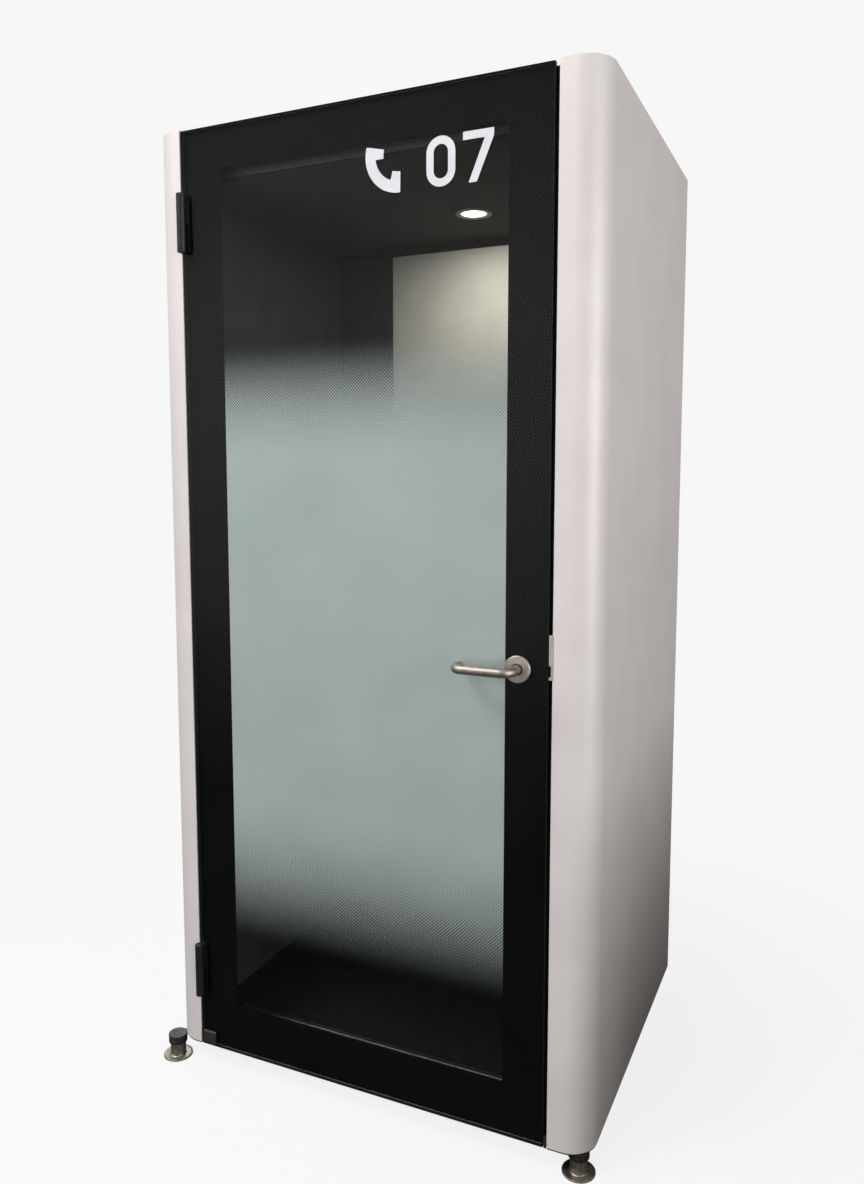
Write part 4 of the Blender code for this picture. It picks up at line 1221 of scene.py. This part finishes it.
def painted_shade_board():
    """Dark board over the foot of the rear panel: painted shade for the dark lower part of the cabin."""
    pad_lo, pad_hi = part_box("rear_acoustic_pad")
    bm = bmesh.new()
    y0, y1 = pad_lo.y - 0.0032, pad_lo.y + 0.0002
    z0, z1 = pad_lo.z + 0.0003, pad_lo.z + 0.26
    outline = fillet([(y0, z0), (y1, z0), (y1, z1), (y0, z1)], [0.0004, 0.0, 0.0, 0.0016], 4)
    extruded(bm, outline, pad_lo.x + 0.0002, pad_hi.x - 0.0002, "X")
    # This dark sheet is painted shade laid over the lower rear panel.
    obj = raw("rear_painted_shade_board", bm, column_film)
    return piece(soften(obj, 0.0004, 2, 50), "root", "column_dark")


painted_shade_board()


def pile_floor():
    """Carpet with its tufted relief in the mesh."""
    lo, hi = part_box("floor_carpet")
    threshold_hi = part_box("threshold_strip")[1]
    notch_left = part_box("threshold_strip")[0].x - GAP
    notch_right = threshold_hi.x + GAP
    notch_rear = threshold_hi.y + GAP
    xs = [lo.x, notch_left] + [notch_left + (notch_right - notch_left) * k / 130 for k in range(1, 130)]
    xs += [notch_right, hi.x]
    ys = [lo.y, notch_rear] + [notch_rear + (hi.y - notch_rear) * k / 106 for k in range(1, 107)]
    bm = bmesh.new()
    top, base = {}, {}

    def vert(i, j):
        if (i, j) not in top:
            x, y = xs[i], ys[j]
            edge = i in (0, len(xs) - 1) or j in (0, len(ys) - 1)
            tuft = 0.0 if edge else abs(noise.noise(Vector((x * 150, y * 110, 0.7)))) * 0.0011
            top[i, j] = bm.verts.new((x, y, hi.z - 0.0001 - tuft))
            base[i, j] = bm.verts.new((x, y, lo.z))
        return top[i, j], base[i, j]

    def inside(i, j):
        return j > 0 or xs[i + 1] <= notch_left + 1e-6 or xs[i] >= notch_right - 1e-6

    for j in range(len(ys) - 1):
        for i in range(len(xs) - 1):
            if not inside(i, j):
                continue
            quad = [vert(i, j), vert(i + 1, j), vert(i + 1, j + 1), vert(i, j + 1)]
            bm.faces.new([q[0] for q in quad])
            bm.faces.new([q[1] for q in reversed(quad)])
    rims = [e for e in bm.edges if len(e.link_faces) == 1]
    back = {v: k for k, v in top.items()}
    for e in rims:
        a, b = e.verts
        if a in back and b in back:
            bm.faces.new((a, b, base[back[b]], base[back[a]]))
    obj = raw("pile_floor", bm, pile, smooth=60)
    return piece(obj, "root", "carpet", "floor_carpet")


pile_floor()


def desk():
    """Worktop: printed laminate, soft front edge with its band."""
    lo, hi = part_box("worktop")
    bm = bmesh.new()
    outline = fillet(
        [(lo.y, lo.z), (hi.y, lo.z), (hi.y, hi.z), (lo.y, hi.z)], [0.0030, 0.0006, 0.0006, 0.0030], 6)
    extruded(bm, outline, lo.x, hi.x, "X")
    obj = raw("desk_top", bm, worktop_print, edge_band)
    for face in obj.data.polygons:
        if face.normal.y < -0.2:
            face.material_index = 1
    soften(obj, 0.0006, 2, 50)
    return piece(obj, "root", "worktop_laminate", "worktop")


desk()


def socket_insert():
    """Face of the power outlet: pin holes and earth contacts."""
    lo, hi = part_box("power_module")
    centre = Vector((at(0.060, 0, 0).x, lo.y + 0.0014, 1.122))
    bm = bmesh.new()
    spun(bm, fillet([(0, 0.0010), (0.0183, 0.0010), (0.0183, -0.0004), (0, -0.0004)], [0, 0.0003, 0, 0], 3,
                    closed=False), centre, "Y", 56, 1.0)
    obj = raw("socket_face", bm, module_plastic)
    helpers = []
    for side in (-1, 1):
        hole = bmesh.new()
        spun(hole, [(0, -0.002), (0.0025, -0.002), (0.0025, 0.0007), (0, 0.0007)],
             centre + Vector((side * 0.0095, 0, 0)), "Y", 24, 1.0)
        helpers.append(boolean(obj, raw("pin_hole", hole), "DIFFERENCE"))
    settle(obj, helpers, 35)
    piece(obj, "root", "module_grey")
    for side, name in ((1, "socket_earth_top"), (-1, "socket_earth_bottom")):
        bm = bmesh.new()
        z = centre.z + side * 0.0163
        boxed(bm, (centre.x - 0.0025, centre.y - 0.0024, z - 0.0010), (centre.x + 0.0025, centre.y - 0.0001, z + 0.0010))
        piece(soften(raw(name, bm, bolt_nickel), 0.0003, 2), "root", "bolt_nickel")


socket_insert()


# ------------------------------------------------------ screws at the rear
def screw(name, centre, normal_axis, sense, r=0.0042):
    """Countersunk screw with a cross recess, set flush."""
    bm = bmesh.new()
    profile = [(0, 0.00003), (r, 0.00003), (r, -0.0006), (0.0015, -0.0016), (0, -0.0016)]
    spun(bm, profile, centre, normal_axis, 32, sense)
    obj = raw(name, bm, screw_steel)
    helpers = []
    for turned_by in (0, 1):
        slot = bmesh.new()
        a, b = (0.0024, 0.0005) if turned_by else (0.0005, 0.0024)
        if normal_axis == "Y":
            boxed(slot, centre + Vector((-a, -0.0009, -b)), centre + Vector((a, 0.0009, b)))
        else:
            boxed(slot, centre + Vector((-a, -b, -0.0009)), centre + Vector((a, b, 0.0009)))
        helpers.append(boolean(obj, raw("recess", slot), "DIFFERENCE"))
    settle(obj, helpers, 30)
    return piece(obj, "root", "pin_steel")


rear_lo, rear_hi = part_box("rear_panel")
count = 0
for x in (rear_lo.x + 0.014, rear_hi.x - 0.014):
    for k in range(7):
        z = rear_lo.z + 0.045 + (rear_hi.z - rear_lo.z - 0.09) * k / 6
        screw(f"rear_screw_{count}", Vector((x, rear_hi.y, z)), "Y", 1.0)
        count += 1
roof_lo, roof_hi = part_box("roof_panel")
count = 0
for x in (roof_lo.x + 0.03, (roof_lo.x + roof_hi.x) / 2, roof_hi.x - 0.03):
    for y in (roof_lo.y + 0.07, roof_hi.y - 0.03):
        screw(f"roof_screw_{count}", Vector((x, y, roof_hi.z)), "Z", 1.0)
        count += 1

# -------------------------------------------------------- packed flat parts
dress("rear_panel", silver_rear, 0.0004)
dress("roof_panel", roof_paint, 0.0004)
dress("base_tray", tray_paint, 0.0004)
dress("floor_board", board, 0.0004)
dress("sill_rail", sill_paint, 0.0006)
dress("threshold_strip", threshold, 0.0002)
dress("left_core", core)
dress("right_core", core)
dress("rear_core", core)
dress("roof_core", core)
dress("left_inner_wall", wall_felt, 0.0008)
dress("right_inner_wall", wall_felt, 0.0008)
dress("rear_inner_wall", wall_felt, 0.0008)
dress("service_column", column_film, 0.0004)
dress("ceiling_panel", ceiling_felt, 0.0006)
dress("left_jamb", frame_paint, 0.0006)
dress("right_jamb", frame_paint, 0.0006)
dress("head_rail", frame_paint, 0.0006)
dress("door_gasket", rubber, 0.0005)
dress("upper_hinge_pin", pin_steel)
dress("lower_hinge_pin", pin_steel)
dress("ceiling_grille", vent_plastic, 0.0003)
dress("roof_grille", vent_plastic, 0.0003)
dress("fan_housing", fan_plastic, 0.0003)
dress("fan_rotor", fan_plastic)
dress("power_module", module_plastic, 0.0003)
dress("rocker_switch", rocker_plastic, 0.0003)
dress("power_inlet", inlet_plastic, 0.0003)


# ------------------------------------------------------------------- stage
def stage_floor():
    """Pale paper floor seen by the camera, level in tone with the surround."""
    bm = bmesh.new()
    bmesh.ops.create_circle(bm, cap_ends=True, segments=128, radius=69.0)
    mesh = bpy.data.meshes.new("studio_floor")
    bm.to_mesh(mesh)
    bm.free()
    obj = bpy.data.objects.new("studio_floor", mesh)
    scene.collection.objects.link(obj)
    obj.location.z = -0.0001
    look = bpy.data.materials.new("floor_paper")
    t = Tree(look)
    far = t.put("ShaderNodeVectorMath", {0: t.place((1.0, 1.0, 0.0))}, operation="LENGTH").outputs["Value"]
    share = t.put("ShaderNodeMapRange", {"Value": far, "From Min": 0.6, "From Max": 2.0, "To Min": 0.10, "To Max": 0.0},
                  interpolation_type="SMOOTHSTEP").outputs[0]
    glow = t.put("ShaderNodeEmission", {"Color": (1.0, 1.0, 1.0, 1.0), "Strength": 0.93}).outputs[0]
    paper = t.put("ShaderNodeBsdfDiffuse", {"Color": (0.9, 0.9, 0.9, 1.0), "Roughness": 0.5}).outputs[0]
    t.end(t.put("ShaderNodeMixShader", {0: share, 1: glow, 2: paper}).outputs[0])
    mesh.materials.append(look)
    obj.visible_diffuse = False
    obj.visible_glossy = False
    obj.visible_transmission = False
    return obj


def bounce_floor():
    """What the booth itself sees below: a dimmer floor, left out of the camera's view."""
    bm = bmesh.new()
    bmesh.ops.create_circle(bm, cap_ends=True, segments=96, radius=69.0)
    mesh = bpy.data.meshes.new("bounce_floor")
    bm.to_mesh(mesh)
    bm.free()
    obj = bpy.data.objects.new("bounce_floor", mesh)
    scene.collection.objects.link(obj)
    obj.location.z = -0.0004
    look = bpy.data.materials.new("bounce_paper")
    t = Tree(look)
    t.end(t.principled(colour=t.tint(t.noise(2.0, 3.0), (0.185, 0.180, 0.172), (0.205, 0.200, 0.192)),
                       roughness=0.9, specular=0.0))
    mesh.materials.append(look)
    obj.visible_camera = False
    obj.visible_shadow = False
    return obj


def flag(name, lo, hi):
    """A dark board beside the booth, out of the camera's view, that shades the foot of the side."""
    bm = bmesh.new()
    boxed(bm, lo, hi)
    mesh = bpy.data.meshes.new(name)
    bm.to_mesh(mesh)
    bm.free()
    obj = bpy.data.objects.new(name, mesh)
    scene.collection.objects.link(obj)
    look = bpy.data.materials.new(name + "_cloth")
    t = Tree(look)
    t.end(t.principled(colour=t.tint(t.noise(2.0, 3.0), (0.020, 0.019, 0.018), (0.026, 0.025, 0.024)),
                       roughness=0.9, specular=0.0))
    mesh.materials.append(look)
    obj.visible_camera = False
    return obj


def backdrop():
    """Pale surround that only the camera sees."""
    bm = bmesh.new()
    bmesh.ops.create_uvsphere(bm, u_segments=64, v_segments=32, radius=70.0)
    mesh = bpy.data.meshes.new("backdrop")
    bm.to_mesh(mesh)
    bm.free()
    obj = bpy.data.objects.new("backdrop", mesh)
    scene.collection.objects.link(obj)
    look = bpy.data.materials.new("backdrop_paper")
    t = Tree(look)
    t.end(t.put("ShaderNodeEmission", {"Color": (1.0, 1.0, 1.0, 1.0), "Strength": 0.93}).outputs[0])
    mesh.materials.append(look)
    obj.visible_diffuse = False
    obj.visible_glossy = False
    obj.visible_transmission = False
    obj.visible_shadow = False
    return obj


def dark_card(name, corners, low, high, flat=False):
    """A card that only shows in reflections, with a glow that changes slowly over it."""
    bm = bmesh.new()
    bm.faces.new([bm.verts.new(c) for c in corners])
    mesh = bpy.data.meshes.new(name)
    bm.to_mesh(mesh)
    bm.free()
    obj = bpy.data.objects.new(name, mesh)
    scene.collection.objects.link(obj)
    look = bpy.data.materials.new(name + "_look")
    t = Tree(look)
    axes = t.put("ShaderNodeSeparateXYZ", {0: t.place()})
    z = t.calc("ADD", axes.outputs["Z"], 0.0)
    near = t.put("ShaderNodeMapRange", {"Value": axes.outputs["Y"], "From Min": -6.5, "From Max": -2.0, "To Min": 0.45,
                                        "To Max": 0.06}).outputs[0]
    lift = t.put("ShaderNodeMapRange", {"Value": z, "From Min": 0.0, "From Max": 2.0, "To Min": low, "To Max": 0.80})
    fade = t.put("ShaderNodeMapRange", {"Value": z, "From Min": 3.0, "From Max": 4.7, "To Min": 0.80, "To Max": high})
    glow = t.calc("MINIMUM", lift.outputs[0], fade.outputs[0])
    if flat:
        glow = near
    t.end(t.put("ShaderNodeEmission", {"Color": (1.0, 0.96, 0.92, 1.0), "Strength": glow}).outputs[0])
    mesh.materials.append(look)
    obj.visible_camera = False
    obj.visible_diffuse = False
    obj.visible_transmission = False
    obj.visible_shadow = False
    return obj


floor = stage_floor()
bounce = bounce_floor()
surround = backdrop()
card_floor = dark_card("reflection_card_floor",
                       [(-7.0, -6.5, 0.001), (0.5, -6.5, 0.001), (0.5, -0.46, 0.001), (-7.0, -0.46, 0.001)], 0.06, 0.06, True)
card_wall = dark_card("reflection_card_wall",
                      [(-7.0, -6.5, 0.0), (0.5, -6.5, 0.0), (0.5, -6.5, 7.0), (-7.0, -6.5, 7.0)], 0.45, 0.34)
side_flag = flag("side_flag", (1.45, -0.75, 0.0), (1.47, 2.6, 0.79))

world = bpy.data.worlds.new("studio_air")
scene.world = world
t = Tree(world)
air = t.put("ShaderNodeBackground", {"Color": (1.0, 0.995, 0.99, 1.0), "Strength": 0.42}).outputs[0]
out = t.put("ShaderNodeOutputWorld")
t.tree.links.new(air, out.inputs["Surface"])


def softbox(name, place, target, width, height, power, colour=(1.0, 1.0, 1.0)):
    data = bpy.data.lights.new(name, "AREA")
    data.shape = "RECTANGLE"
    data.size = width
    data.size_y = height
    data.energy = power
    data.color = colour
    obj = bpy.data.objects.new(name, data)
    obj.location = place
    obj.rotation_euler = (Vector(target) - Vector(place)).to_track_quat("-Z", "Y").to_euler()
    scene.collection.objects.link(obj)
    obj.visible_camera = False
    return obj


softbox("key_overhead", (-2.8, -3.1, 5.45), (-0.2, -0.3, 1.0), 3.2, 2.2, 256.0)
softbox("fill_right", (4.2, -1.6, 1.8), (0.5, 0.0, 1.35), 2.4, 2.4, 114.0)
wash = softbox("front_wash", (-1.6, -5.0, 2.2), (0.0, -0.4, 1.1), 4.0, 3.0, 113.0)
wash.visible_glossy = False
softbox("fill_rear", (-2.6, 4.2, 3.6), (0.0, 0.3, 1.1), 3.0, 2.4, 110.0)
cabin = bpy.data.lights.new("cabin_lamp", "AREA")
cabin.shape = "DISK"
cabin.size = 0.060
cabin.energy = 1.6
cabin.color = (1.0, 0.93, 0.82)
cabin_obj = bpy.data.objects.new("cabin_lamp", cabin)
cabin_obj.location = lamp_spot + Vector((0, 0, -0.0045))
scene.collection.objects.link(cabin_obj)
cabin_obj.visible_camera = False
cabin_obj.visible_glossy = False

scene.view_settings.view_transform = "Standard"
scene.view_settings.look = "None"
scene.view_settings.exposure = 0.0
scene.view_settings.gamma = 1.0
